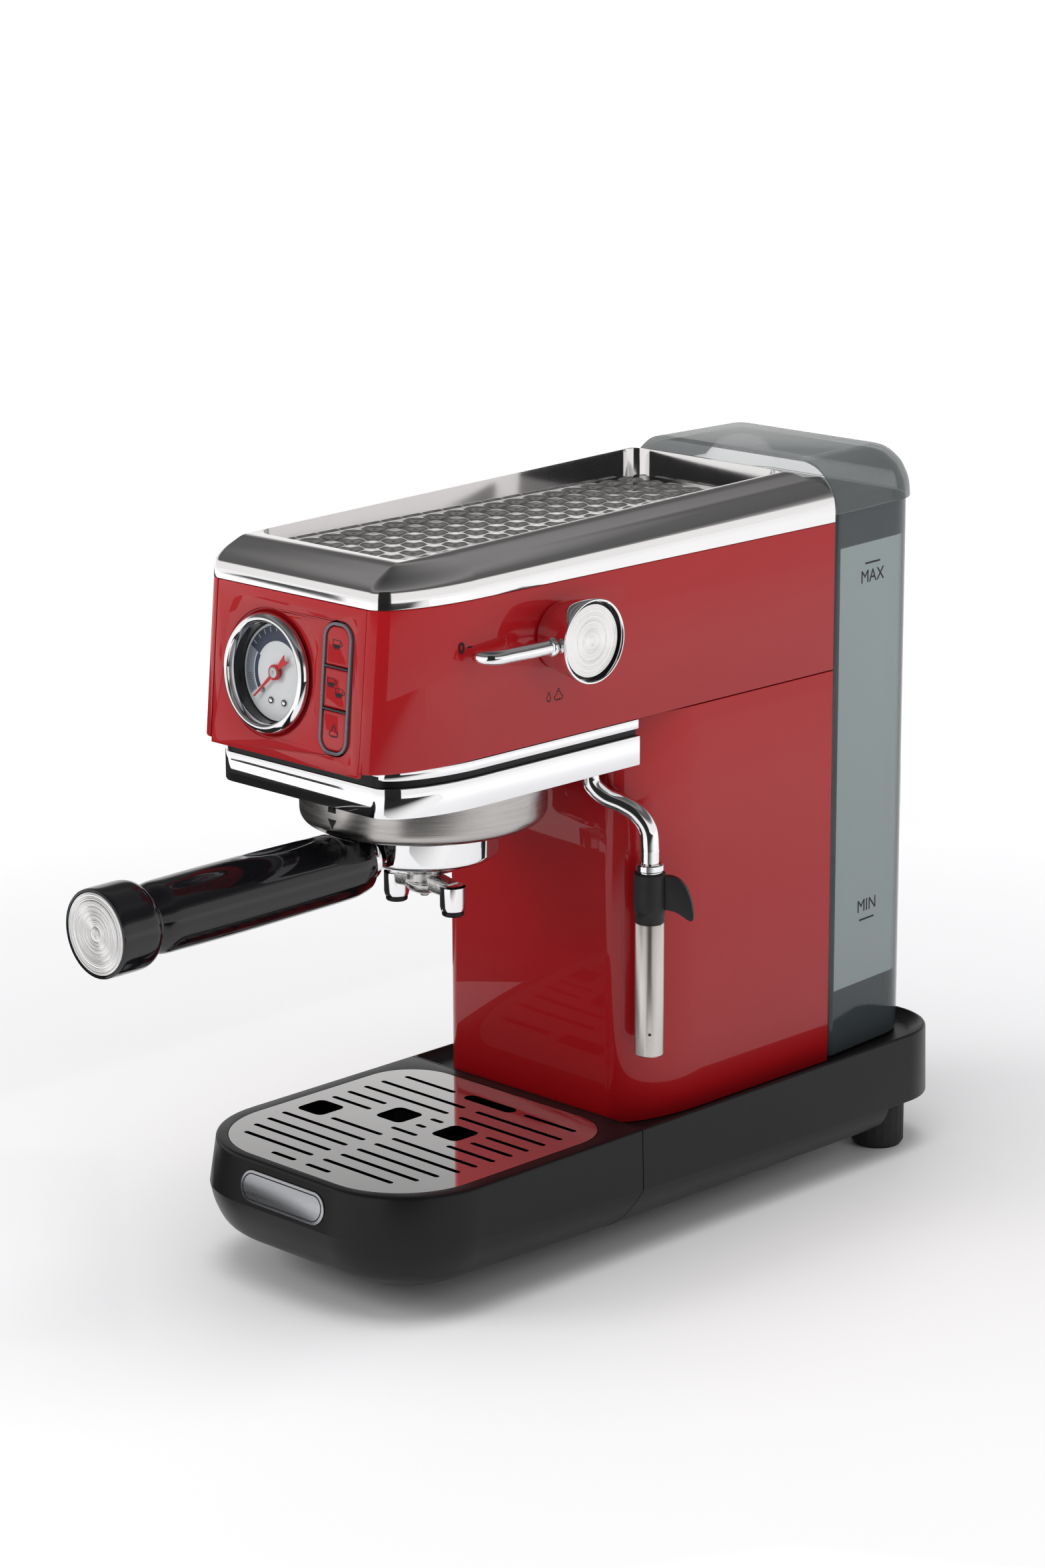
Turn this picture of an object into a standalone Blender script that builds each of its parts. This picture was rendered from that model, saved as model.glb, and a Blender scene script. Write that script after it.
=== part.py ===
"""Slim domestic espresso machine, built from separate pieces that come apart on a bench.

Metres, +Z up. The front faces -Y. The brew head overhangs the drip tray, and the water tank is at the rear.
Lengths below are written in millimetres times MM. The machine's mid-plane is x = 0 in the machine frame,
and one root empty moves that frame so that the middle of the model's footprint is the world origin.
"""

import math

import bmesh
import bpy
from mathutils import Matrix, Vector

MM = 0.001
GAP = 0.3 * MM                      # clearance between pieces that touch

# Body, from side to side and from the tank's face to the front panel
BODY_HALF = 61 * MM
BODY_REAR = 9 * MM
HEAD_FRONT_TOP = -254 * MM
HEAD_FRONT_BOTTOM = -260 * MM
HEAD_CORNER = (16.5 * MM, 46 * MM)  # across, along: the front corners are quarter ellipses
PANEL_HALF = 44.2 * MM
HEAD_BOTTOM = 233 * MM
HEAD_TOP = 299 * MM
SHEET = 1.5 * MM                    # painted sheet thickness
COLUMN_FRONT = -119.5 * MM
COLUMN_CORNER = (16 * MM, 43 * MM)
COVER_RISE_FRONT = 15.7 * MM
COVER_RISE_REAR = 22.7 * MM
RECESS_HALF = 44 * MM
RECESS_FRONT = -234 * MM
RECESS_REAR = -6 * MM
CUP_PLATE_Z = 309 * MM

# Trim under the head
TRIM_BOTTOM = 213.1 * MM
TRIM_TOP = 225.9 * MM
TRIM_FRONT = -251.4 * MM
TRIM_FRONT_HALF = 42 * MM
TRIM_REAR = -115 * MM

# Base and drip tray
BASE_HALF = 71.3 * MM
BASE_REAR = 85 * MM
RIM_Z = 56.5 * MM
FLOOR_Z = 52.7 * MM
SEAM_Y = -123.4 * MM
SEAM_Z = 29 * MM
SEAM_SLOPE = 0.72
SKIRT_SWELL = 0.6 * MM              # how far the skirt stands out at its mid seam
TRAY_FRONT = -266.4 * MM
TRAY_LEAN = 3 * MM                  # how far the front face leans back up to the rim
TRAY_CORNER = (44 * MM, 44 * MM)
GRID_HALF = 64.3 * MM
GRID_FRONT = -259 * MM
GRID_REAR = -129.6 * MM
GRID_THICK = 1.4 * MM
FOOT_R = 12 * MM
MIDDLE_FOOT = (31 * MM, -73 * MM)
TRAY_FOOT = (20 * MM, -197 * MM)
PLATE_INSET = 23 * MM               # the base plate's edge, in from the skirt
BADGE_Z = 45.6 * MM
BADGE_TILT = math.atan2(TRAY_LEAN + SKIRT_SWELL, RIM_Z - 1.2 * MM - SEAM_Z - 8 * MM)

# Tank
TANK_FRONT = 11 * MM
TANK_REAR = 77 * MM
TANK_HALF = 60 * MM
TANK_BOTTOM = 53.2 * MM
TANK_TOP = 301.5 * MM
LID_TOP = 325 * MM
WALL = 2.2 * MM
VALVE_Y = 32 * MM

# Brew group and portafilter
GROUP_Y = -182 * MM
RING_R = 52 * MM
RING_BOTTOM = 193 * MM
BOWL_R = 31.75 * MM
BOWL_BOTTOM = 176.6 * MM
SPOUT_X = 17 * MM
SPOUT_BOTTOM = 153 * MM
HANDLE_Z = 181 * MM
HANDLE_TILT = math.radians(0.4)
HANDLE_END = 178 * MM               # from the group axis to the end cap's face
GRIP_R = 14.8 * MM
CAP_R = 18.25 * MM

# Controls
PANEL_Z = 265 * MM                  # height of the panel frame's origin
GAUGE_X = -11.4 * MM
GAUGE_R = 24.7 * MM
DIAL_DEPTH = 5.2 * MM
BUTTONS_X = 29 * MM
BUTTON_PITCH = 17.1 * MM
BUTTON_HALF = 6.6 * MM
BUTTON_TALL = 8 * MM                # half of one button's height
KNOB_Y = -163 * MM
KNOB_Z = 277 * MM
KNOB_R = 17.5 * MM
KNOB_REACH = 81 * MM
KNOB_FACE_R = 15 * MM
LEVER_X = 74.8 * MM

# Steam wand
WAND_PIVOT = (45 * MM, -128 * MM)
WAND_DROP = (66 * MM, -114 * MM)
WAND_R = 4 * MM
SLEEVE_R = 6.2 * MM
SLEEVE_BOTTOM = 87 * MM
SLEEVE_TOP = 145.5 * MM
GRIP_TOP = 167.4 * MM
FIN_REACH = 19 * MM
FIN_HALF = 1.6 * MM                 # half the fin's thickness

GLAND_REACH = 4 * MM
LEFT_REACH = BASE_HALF + SKIRT_SWELL
WAND_HEADING = math.atan2(WAND_DROP[1] - WAND_PIVOT[1], WAND_DROP[0] - WAND_PIVOT[0])
RIGHT_REACH = WAND_DROP[0] + FIN_REACH * math.cos(WAND_HEADING) + FIN_HALF * math.sin(WAND_HEADING)
FRONT_REACH = -GROUP_Y + HANDLE_END * math.cos(HANDLE_TILT) + (CAP_R - 0.5 * MM) * math.sin(HANDLE_TILT)
REAR_REACH = BASE_REAR + SKIRT_SWELL + GLAND_REACH
ORIGIN = Vector(((RIGHT_REACH - LEFT_REACH) / 2, (REAR_REACH - FRONT_REACH) / 2, 0))

FINISHES = {                        # colour, roughness, metallic, alpha
    "red_paint": ((0.50, 0.015, 0.02), 0.12, 0.0, 1.0),
    "chrome": ((0.82, 0.82, 0.83), 0.05, 1.0, 1.0),
    "brushed_steel": ((0.62, 0.61, 0.59), 0.30, 1.0, 1.0),
    "polished_steel": ((0.80, 0.80, 0.80), 0.08, 1.0, 1.0),
    "black_plastic": ((0.012, 0.012, 0.013), 0.38, 0.0, 1.0),
    "gloss_black": ((0.006, 0.006, 0.007), 0.08, 0.0, 1.0),
    "rubber": ((0.010, 0.010, 0.010), 0.75, 0.0, 1.0),
    "smoke_clear": ((0.30, 0.36, 0.36), 0.06, 0.0, 0.35),
    "white_print": ((0.85, 0.85, 0.83), 0.45, 0.0, 1.0),
    "needle_red": ((0.60, 0.02, 0.02), 0.35, 0.0, 1.0),
    "clear_glass": ((0.95, 0.95, 0.95), 0.03, 0.0, 0.25),
    "aluminium": ((0.70, 0.70, 0.71), 0.35, 1.0, 1.0),
    "brass": ((0.72, 0.52, 0.20), 0.30, 1.0, 1.0),
    "silicone": ((0.60, 0.58, 0.55), 0.55, 0.0, 1.0),
    "circuit_green": ((0.02, 0.16, 0.06), 0.45, 0.0, 1.0),
    "grey_frame": ((0.16, 0.16, 0.18), 0.35, 0.0, 1.0),
}


# ---------------------------------------------------------------- helpers

def clear_scene():
    for thing in list(bpy.data.objects):
        bpy.data.objects.remove(thing, do_unlink=True)


clear_scene()
PARTS = bpy.data.collections.new("espresso_machine")
CUTTERS = bpy.data.collections.new("cutters")
bpy.context.scene.collection.children.link(PARTS)
bpy.context.scene.collection.children.link(CUTTERS)


def empty(name, place=(0, 0, 0), parent=None, turn=(0, 0, 0)):
    """An empty at a joint's axis or at a tilted frame, for pieces to hang on."""
    holder = bpy.data.objects.new(name, None)
    holder.empty_display_size = 0.02
    holder.location = place
    holder.rotation_euler = turn
    holder.parent = parent
    PARTS.objects.link(holder)
    return holder


ROOT = empty("machine_frame", -ORIGIN)


def piece(name, mesh, finish, parent=None, place=(0, 0, 0), turn=(0, 0, 0)):
    """A named sub-part with its own material."""
    thing = bpy.data.objects.new(name, mesh)
    thing.location = place
    thing.rotation_euler = turn
    thing.parent = parent or ROOT
    PARTS.objects.link(thing)
    colour, roughness, metallic, alpha = FINISHES[finish]
    look = bpy.data.materials.new(name + "_" + finish)
    look.use_nodes = True
    shader = look.node_tree.nodes["Principled BSDF"]
    shader.inputs["Base Color"].default_value = (*colour, 1)
    shader.inputs["Roughness"].default_value = roughness
    shader.inputs["Metallic"].default_value = metallic
    shader.inputs["Alpha"].default_value = alpha
    mesh.materials.append(look)
    return thing


def cutter(mesh, place=(0, 0, 0), turn=(0, 0, 0), parent=None):
    """A hidden solid that a Boolean takes away."""
    thing = bpy.data.objects.new("cutter", mesh)
    thing.location = place
    thing.rotation_euler = turn
    thing.parent = parent or ROOT
    thing.hide_render = True
    thing.display_type = "WIRE"
    CUTTERS.objects.link(thing)
    return thing


def boolean(target, other, operation="DIFFERENCE"):
    step = target.modifiers.new(operation.lower(), "BOOLEAN")
    step.operation = operation
    step.object = other
    return target


def cut(target, *others):
    for other in others:
        boolean(target, other)
    return target


def smooth(mesh, angle=35):
    mesh.shade_smooth()
    mesh.set_sharp_from_angle(angle=math.radians(angle))
    return mesh


def from_bmesh(shape):
    mesh = bpy.data.meshes.new("shape")
    bmesh.ops.recalc_face_normals(shape, faces=shape.faces)
    shape.to_mesh(mesh)
    shape.free()
    return mesh


def box(low, high, bevel=0.0):
    """A block from its lowest to its highest corner, with its edges rounded where asked."""
    shape = bmesh.new()
    bmesh.ops.create_cube(shape, size=1)
    size = [b - a for a, b in zip(low, high)]
    middle = [(a + b) / 2 for a, b in zip(low, high)]
    placed = Matrix.Translation(middle) @ Matrix.Diagonal((*size, 1))
    bmesh.ops.transform(shape, matrix=placed, verts=shape.verts)
    if bevel:
        bmesh.ops.bevel(shape, geom=shape.edges[:], offset=bevel, segments=2, affect="EDGES", profile=0.5)
    return smooth(from_bmesh(shape))


def rod(radius, low, high, sides=24):
    """A straight cylinder along Z between two heights."""
    shape = bmesh.new()
    bmesh.ops.create_cone(shape, cap_ends=True, segments=sides, radius1=radius, radius2=radius,
                          depth=high - low)
    bmesh.ops.translate(shape, vec=(0, 0, (low + high) / 2), verts=shape.verts)
    return smooth(from_bmesh(shape))


ALONG_X = (0, math.pi / 2, 0)       # turns +Z to +X
ALONG_Y = (-math.pi / 2, 0, 0)      # turns +Z to +Y
AGAINST_Y = (math.pi / 2, 0, 0)     # turns +Z to -Y


def turned(name, profile, finish, parent=None, place=(0, 0, 0), turn=(0, 0, 0), sides=28, ring=False):
    """A lathe-turned piece from (radius, height) points, down its outer side; a ring's profile closes."""
    shape = bmesh.new()
    points = [shape.verts.new((r, 0, z)) for r, z in profile]
    for a, b in zip(points, points[1:] + (points[:1] if ring else [])):
        shape.edges.new((a, b))
    mesh = bpy.data.meshes.new(name)
    shape.to_mesh(mesh)
    shape.free()
    thing = piece(name, mesh, finish, parent, place, turn)
    lathe = thing.modifiers.new("lathe", "SCREW")
    lathe.steps = lathe.render_steps = sides
    lathe.use_merge_vertices = True
    lathe.merge_threshold = 0.00005
    lathe.use_smooth_shade = True
    return thing


def plan(half, front, rear, front_corner, rear_corner, steps=6):
    """A rounded rectangle seen from above, anticlockwise; each corner is a quarter ellipse (across, along)."""
    points = []
    for side, end, corner, start in ((-1, front, front_corner, 180), (1, front, front_corner, 270),
                                     (1, rear, rear_corner, 0), (-1, rear, rear_corner, 90)):
        centre_x = side * (half - corner[0])
        centre_y = end + corner[1] if end == front else end - corner[1]
        for i in range(steps + 1):
            angle = math.radians(start + 90 * i / steps)
            points.append((centre_x + corner[0] * math.cos(angle),
                           centre_y + corner[1] * math.sin(angle)))
    return points


def inset(half, front, rear, front_corner, rear_corner, by, steps=6):
    """The same rounded rectangle, moved inward all round."""
    smaller = [(max(a - by, MM), max(b - by, MM)) for a, b in (front_corner, rear_corner)]
    return plan(half - by, front + by, rear - by, *smaller, steps)


def loft(rows):
    """A closed body through outlines of equal point count, from the bottom row to the top row."""
    shape = bmesh.new()
    rings = [[shape.verts.new(p) for p in row] for row in rows]
    for below, above in zip(rings, rings[1:]):
        for i in range(len(below)):
            j = (i + 1) % len(below)
            shape.faces.new((below[i], below[j], above[j], above[i]))
    shape.faces.new(list(reversed(rings[0])))
    shape.faces.new(rings[-1])
    return smooth(from_bmesh(shape), 28)


def slab(outline, low, high):
    """A flat outline given a thickness along Z."""
    return loft([[(x, y, z) for x, y in outline] for z in (low, high)])


def flat_curve(outline, low, high):
    """A flat outline with any dents in it, as a filled 2D curve made solid."""
    curve = bpy.data.curves.new("outline", "CURVE")
    curve.dimensions = "2D"
    curve.fill_mode = "BOTH"
    curve.extrude = (high - low) / 2
    spline = curve.splines.new("POLY")
    spline.points.add(len(outline) - 1)
    for point, (x, y) in zip(spline.points, outline):
        point.co = (x, y, 0, 1)
    spline.use_cyclic_u = True
    return welded(curve, (0, 0, (low + high) / 2))


def welded(curve, shift=(0, 0, 0)):
    """A curve's evaluated shape as one closed mesh."""
    holder = bpy.data.objects.new("curve", curve)
    bpy.context.scene.collection.objects.link(holder)
    seen = holder.evaluated_get(bpy.context.evaluated_depsgraph_get())
    mesh = bpy.data.meshes.new_from_object(seen)
    bpy.data.objects.remove(holder)
    shape = bmesh.new()
    shape.from_mesh(mesh)
    bmesh.ops.remove_doubles(shape, verts=shape.verts, dist=0.00002)
    bmesh.ops.translate(shape, vec=shift, verts=shape.verts)
    return smooth(from_bmesh(shape))


def tube(points, radius, corner=0.0, resolution=2):
    """A round bar or hose through points, with its bends rounded to the corner length."""
    curve = bpy.data.curves.new("tube", "CURVE")
    curve.dimensions = "3D"
    curve.bevel_depth = radius
    curve.bevel_resolution = resolution
    curve.use_fill_caps = True
    path = rounded(points, corner) if corner else points
    spline = curve.splines.new("POLY")
    spline.points.add(len(path) - 1)
    for point, place in zip(spline.points, path):
        point.co = (*place, 1)
    return welded(curve)


def rounded(points, corner, steps=5):
    """A path through points whose bends are quadratic arcs that start one corner length away."""
    points = [Vector(p) for p in points]
    path = [points[0]]
    for before, here, after in zip(points, points[1:], points[2:]):
        start = here + (before - here).normalized() * min(corner, (before - here).length * 0.48)
        end = here + (after - here).normalized() * min(corner, (after - here).length * 0.48)
        for i in range(steps + 1):
            t = i / steps
            path.append(start * (1 - t) ** 2 + here * 2 * t * (1 - t) + end * t ** 2)
    return path + [points[-1]]


# ---------------------------------------------------------------- base and drip tray

def mid_seam(y):
    """Height of the line where the skirt turns in: it rises towards the tray's front and falls to the rear."""
    if y < SEAM_Y:
        return SEAM_Z + 8 * MM * (SEAM_Y - y) / (SEAM_Y - TRAY_FRONT)
    return SEAM_Z - 4 * MM * (y - SEAM_Y) / (BASE_REAR - SEAM_Y)


def skirt_bottom(y):
    return 9 * MM + 3 * MM * max(0.0, (SEAM_Y - y) / (SEAM_Y - TRAY_FRONT))


def skirt_rows(front, rear, front_corner, rear_corner, lean=0.0):
    """Outlines of the black skirt, from its tucked-in foot to the rounded rim."""
    span = (BASE_HALF, front, rear, front_corner, rear_corner)
    rows = []
    for by, share in ((20 * MM, 0.0), (12 * MM, 0.16), (5.6 * MM, 0.36), (1.4 * MM, 0.68),
                      (-SKIRT_SWELL, 1.0)):
        outline = inset(*span, by)
        rows.append([(x, y, skirt_bottom(y) + share * (mid_seam(y) - skirt_bottom(y)))
                     for x, y in outline])
    for by, z in ((0.0, RIM_Z - 1.2 * MM), (0.9 * MM, RIM_Z)):
        outline = inset(BASE_HALF, front + lean, rear, front_corner, rear_corner, by)
        rows.append([(x, y, z) for x, y in outline])
    return rows


def seam_wedge(side):
    """Everything in front of (side -1) or behind (side +1) the tray's seam, which slants forward at its foot."""
    step = side * -0.25 * MM
    low, far = 0.0, side * 300 * MM
    lean = SEAM_SLOPE * (SEAM_Z - low)
    outline = [(SEAM_Y + step, 90 * MM), (SEAM_Y + step, SEAM_Z), (SEAM_Y + step - lean, low),
               (SEAM_Y + far, low), (SEAM_Y + far, 90 * MM)]
    shape = bmesh.new()
    ends = [[shape.verts.new((x, y, z)) for y, z in outline] for x in (-100 * MM, 100 * MM)]
    count = len(outline)
    for i in range(count):
        j = (i + 1) % count
        shape.faces.new((ends[0][i], ends[0][j], ends[1][j], ends[1][i]))
    shape.faces.new(ends[0])
    shape.faces.new(ends[1][::-1])
    return cutter(from_bmesh(shape))


def base_chassis():
    small = (4 * MM, 4 * MM)
    rear_corner = (30 * MM, 30 * MM)
    front = SEAM_Y - 24 * MM
    base = piece("base_chassis", loft(skirt_rows(front, BASE_REAR, small, rear_corner)), "black_plastic")
    dish = loft([[(x, y, z) for x, y in inset(BASE_HALF, lip - by, BASE_REAR, small, rear_corner, by)]
                 for lip, by, z in ((COLUMN_FRONT - 2 * GAP, 7.5 * MM, FLOOR_Z),
                                    (SEAM_Y + MM, 1.6 * MM, RIM_Z + 0.1 * MM),
                                    (SEAM_Y + MM, 1.6 * MM, RIM_Z + 5 * MM))])
    inner = inset(BASE_HALF, SEAM_Y + 3 * MM, 36 * MM, small, small, 3.5 * MM)
    lower = inset(BASE_HALF, SEAM_Y + 3 * MM, 36 * MM, small, small, PLATE_INSET)
    hollow = loft([[(x, y, 0) for x, y in lower],
                   [(x, y, 13 * MM) for x, y in lower],
                   [(x, y, 30 * MM) for x, y in inner],
                   [(x, y, FLOOR_Z - 3 * MM) for x, y in inner]])
    rear_hollow = slab(inset(BASE_HALF, 0, BASE_REAR, small, rear_corner, 4 * MM), 28.5 * MM,
                       FLOOR_Z - 3.1 * MM)
    heel = box((-90 * MM, 40 * MM, -5 * MM), (90 * MM, 100 * MM, 25 * MM))
    cut(base, seam_wedge(-1), cutter(dish), cutter(heel), cutter(hollow), cutter(rear_hollow))
    cut(base, cutter(rod(16 * MM, 40 * MM, 60 * MM, 24), (0, 32 * MM, 0)))
    cut(base, cutter(box((-20 * MM, -70 * MM, 45 * MM), (20 * MM, -30 * MM, 60 * MM))))
    cut(base, cutter(rod(4.3 * MM, -10 * MM, 10 * MM, 24), (-34 * MM, BASE_REAR, 40 * MM), ALONG_Y))
    cut(base, cutter(box((16.3 * MM, 70 * MM, 35.3 * MM), (33.7 * MM, 90 * MM, 44.7 * MM))))


def base_plate():
    small = (4 * MM, 4 * MM)
    outline = inset(BASE_HALF, SEAM_Y + 3 * MM, 36 * MM, small, small, PLATE_INSET + GAP)
    plate = piece("base_plate", slab(outline, 9.4 * MM, 11.6 * MM), "black_plastic")
    for side in (-1, 1):
        cut(plate, cutter(rod(8.4 * MM, 0, 30 * MM, 24), (side * MIDDLE_FOOT[0], MIDDLE_FOOT[1], 0)))


def foot(name, x, y, radius, top):
    profile = [(0, top), (radius, top), (radius, 2 * MM), (radius - 1.5 * MM, 0), (0, 0)]
    return turned(name, profile, "rubber", place=(x, y, 0), sides=20)


def feet():
    for side, word in ((-1, "left"), (1, "right")):
        foot("rear_foot_" + word, side * 51 * MM, 57 * MM, FOOT_R, 25 * MM - GAP)
        foot("middle_foot_" + word, side * MIDDLE_FOOT[0], MIDDLE_FOOT[1], 8 * MM, 14 * MM)


def drip_tray(tray_frame):
    rear = SEAM_Y + 20 * MM
    span = (BASE_HALF, TRAY_FRONT, rear, TRAY_CORNER, (4 * MM, 4 * MM))
    tray = piece("drip_tray", loft(skirt_rows(*span[1:], TRAY_LEAN)), "black_plastic", tray_frame)
    ledge = slab(inset(GRID_HALF, GRID_FRONT, GRID_REAR, (38 * MM, 38 * MM), (24 * MM, 24 * MM), -GAP),
                 RIM_Z - GRID_THICK - GAP, RIM_Z + 5 * MM)
    basin_span = (GRID_HALF, GRID_FRONT, GRID_REAR, (38 * MM, 38 * MM), (24 * MM, 24 * MM))
    basin = loft([[(x, y, z) for x, y in inset(*basin_span, by)]
                  for by, z in ((13 * MM, 17 * MM), (5 * MM, 32 * MM), (2 * MM, RIM_Z + 1 * MM))])
    cut(tray, seam_wedge(1), cutter(ledge), cutter(basin))
    for side in (-1, 1):
        cut(tray, cutter(rod(7 * MM, 0, 13 * MM, 24), (side * TRAY_FOOT[0], TRAY_FOOT[1], 0)))
    return tray


def tray_badge(tray, tray_frame):
    """A plain pill badge let into the tray's front, which leans back."""
    face = TRAY_FRONT - SKIRT_SWELL + (BADGE_Z - SEAM_Z - 8 * MM) * math.tan(BADGE_TILT)
    plane = empty("tray_badge_plane", (0, face, BADGE_Z), tray_frame, (math.pi / 2 - BADGE_TILT, 0, 0))
    pill = (25.5 * MM, -6.9 * MM, 6.9 * MM, (6.9 * MM, 6.9 * MM), (6.9 * MM, 6.9 * MM))
    cut(tray, cutter(slab(inset(*pill, -GAP), -0.9 * MM, 5 * MM), parent=plane))
    piece("tray_badge", slab(plan(*pill), -0.6 * MM, 0.6 * MM), "brushed_steel", plane)


def drip_grid(tray_frame):
    """The steel grid, with its three rounded square holes, one finger slot and rows of drain slots."""
    outline = plan(GRID_HALF, GRID_FRONT, GRID_REAR, (38 * MM, 38 * MM), (24 * MM, 24 * MM))
    low = RIM_Z - GRID_THICK
    grid = piece("drip_grid", slab(outline, low, RIM_Z), "polished_steel", tray_frame)
    corner = (3 * MM, 3 * MM)
    for x, y in ((-48.5, -199), (-17, -182), (17, -182)):
        hole = slab(plan(7.4 * MM, -7.4 * MM, 7.4 * MM, corner, corner, 2), 40 * MM, 70 * MM)
        cut(grid, cutter(hole, (x * MM, y * MM, 0)))
    finger = slab(plan(13.8 * MM, -3 * MM, 3 * MM, (2.9 * MM, 2.9 * MM), (2.9 * MM, 2.9 * MM), 2),
                  40 * MM, 70 * MM)
    cut(grid, cutter(finger, (0.8 * MM, -145 * MM, 0)))
    for y, x0, x1 in ((-156.3, 4, 54), (-166.3, -54, -4), (-214.4, 3, 51), (-233.1, -52, -5)):
        slot = box((x0 * MM, (y - 1.2) * MM, 40 * MM), (x1 * MM, (y + 1.2) * MM, 70 * MM))
        cut(grid, cutter(slot))


def tray_group():
    tray_frame = empty("drip_tray_slide", (0, TRAY_FRONT, 0), ROOT)
    frame = empty("drip_tray_pieces", (0, -TRAY_FRONT, 0), tray_frame)
    tray = drip_tray(frame)
    drip_grid(frame)
    tray_badge(tray, frame)
    for side, word in ((-1, "left"), (1, "right")):
        profile = [(0, 12.7 * MM), (6.7 * MM, 12.7 * MM), (6.7 * MM, 10 * MM), (9 * MM, 10 * MM),
                   (9 * MM, 1.5 * MM),
                   (8 * MM, 0), (0, 0)]
        place = (side * TRAY_FOOT[0], TRAY_FOOT[1], 0)
        turned("tray_foot_" + word, profile, "rubber", frame, place, sides=16)


# ---------------------------------------------------------------- column and head

def column_shell():
    outer = plan(BODY_HALF, COLUMN_FRONT, BODY_REAR + 60 * MM, COLUMN_CORNER, (MM, MM), 10)
    inner = inset(BODY_HALF, COLUMN_FRONT, BODY_REAR + 90 * MM, COLUMN_CORNER, (MM, MM), SHEET, 10)
    shell = piece("column_shell", slab(outer, FLOOR_Z + GAP, HEAD_BOTTOM - GAP / 2), "red_paint")
    cut(shell, cutter(slab(inner, 0, 300 * MM)))
    cut(shell, cutter(box((-90 * MM, BODY_REAR - GAP, 0), (90 * MM, 90 * MM, 300 * MM))))


def rear_wall():
    half = BODY_HALF - SHEET - GAP
    wall = piece("rear_wall", box((-half, 6 * MM, FLOOR_Z + GAP), (half, 8.5 * MM, HEAD_TOP - GAP)),
                 "black_plastic")
    cut(wall, cutter(rod(6 * MM, -10 * MM, 10 * MM, 16), (0, 7 * MM, 60 * MM), ALONG_Y))


def side_cover(side):
    """One painted side of the head: a long flat, then the front corner as far as the front panel."""
    def row(front, by, steps=10):
        across, along = HEAD_CORNER
        curve = [(side * (BODY_HALF - across + (across - by) * math.sin(math.radians(90 * i / steps))),
                  front + along - (along - by) * math.cos(math.radians(90 * i / steps))) for i in range(steps + 1)]
        return curve + [(side * (BODY_HALF - by), BODY_REAR - GAP)]

    rows = []
    for z, front in ((HEAD_BOTTOM + GAP / 2, HEAD_FRONT_BOTTOM), (HEAD_TOP - GAP / 2, HEAD_FRONT_TOP)):
        outline = row(front, 0) + row(front, SHEET)[::-1]
        if side < 0:
            outline.reverse()
        rows.append([(x, y, z) for x, y in outline])
    cover = piece("side_cover_right" if side > 0 else "side_cover_left", loft(rows), "red_paint")
    if side > 0:
        cut(cover, cutter(rod(7 * MM, 50 * MM, 70 * MM, 24), (0, KNOB_Y, KNOB_Z), ALONG_X))


def head_outline(front, by, steps=6):
    """The head's plan at one height, from its front panel to the tank."""
    return inset(BODY_HALF, front, BODY_REAR - GAP, HEAD_CORNER, (MM, MM), by, steps)


COVER_DOME = ((0.2, 0.24), (1.4, 0.46), (4, 0.60), (8, 0.745), (13.5, 0.88), (18, 0.97), (22, 1.0))
RECESS = (RECESS_HALF, RECESS_FRONT, RECESS_REAR, (9 * MM, 9 * MM), (9 * MM, 9 * MM))


def cover_rows(by, low, drop):
    """Rows of the chrome cover's dome, from a flat foot at a height; it rises towards the rear."""
    rows = [[(x, y, low) for x, y in head_outline(HEAD_FRONT_TOP, by)]]
    for tuck, share in COVER_DOME:
        row = []
        for x, y in head_outline(HEAD_FRONT_TOP, by + tuck * MM * 0.74):
            t = (y - HEAD_FRONT_TOP) / (BODY_REAR - HEAD_FRONT_TOP)
            rise = COVER_RISE_FRONT + (COVER_RISE_REAR - COVER_RISE_FRONT) * t
            row.append((x, y if y < 0 else BODY_REAR - GAP - by, HEAD_TOP + share * rise - drop))
        rows.append(row)
    return rows


def top_cover():
    cover = piece("top_cover", loft(cover_rows(0, HEAD_TOP, 0)), "chrome")
    under = cutter(loft(cover_rows(2 * MM, HEAD_TOP - 5 * MM, 2 * MM)))
    boolean(under, cutter(slab(inset(*RECESS, -2 * MM), HEAD_TOP - 20 * MM, HEAD_TOP + 60 * MM)))
    cut(cover, under, cutter(slab(inset(*RECESS, 0), CUP_PLATE_Z - GAP, HEAD_TOP + 60 * MM)),
        cutter(slab(inset(*RECESS, 3 * MM), HEAD_TOP - 20 * MM, HEAD_TOP + 60 * MM)))


def cup_plate():
    piece("cup_warmer_plate", slab(inset(*RECESS, GAP), CUP_PLATE_Z, CUP_PLATE_Z + 1.2 * MM),
          "polished_steel")


def head_floor():
    outline = inset(BODY_HALF, HEAD_FRONT_BOTTOM + 3 * MM, 5.7 * MM, HEAD_CORNER, (MM, MM), SHEET + GAP,
                    8)
    floor = piece("head_floor", slab(outline, HEAD_BOTTOM + GAP, HEAD_BOTTOM + 2.6 * MM), "black_plastic")
    cut(floor, cutter(rod(24 * MM, 200 * MM, 260 * MM, 24), (0, GROUP_Y, 0)),
        cutter(rod(8 * MM, 200 * MM, 260 * MM, 16), (*WAND_PIVOT, 0)))
    cut(floor, cutter(box((-30 * MM, -100 * MM, 200 * MM), (30 * MM, -20 * MM, 260 * MM))))


def trim_outline(front, front_half, half, rear, by):
    """Plan of the trim: a flat front with sharp ends, sides that sweep out to the body's width."""
    corner, steps = 44 * MM, 8
    side = [(front_half - by + (half - front_half) * math.sin(math.radians(90 * i / steps)),
             front + by + corner * (1 - math.cos(math.radians(90 * i / steps)))) for i in range(steps + 1)]
    right = side + [(half - by, rear - by), (half - 6 * MM, rear - by),
                    (half - 8 * MM, COLUMN_FRONT - 1.5 * MM - by)]
    return [(-x, y) for x, y in reversed(right)] + right


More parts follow.
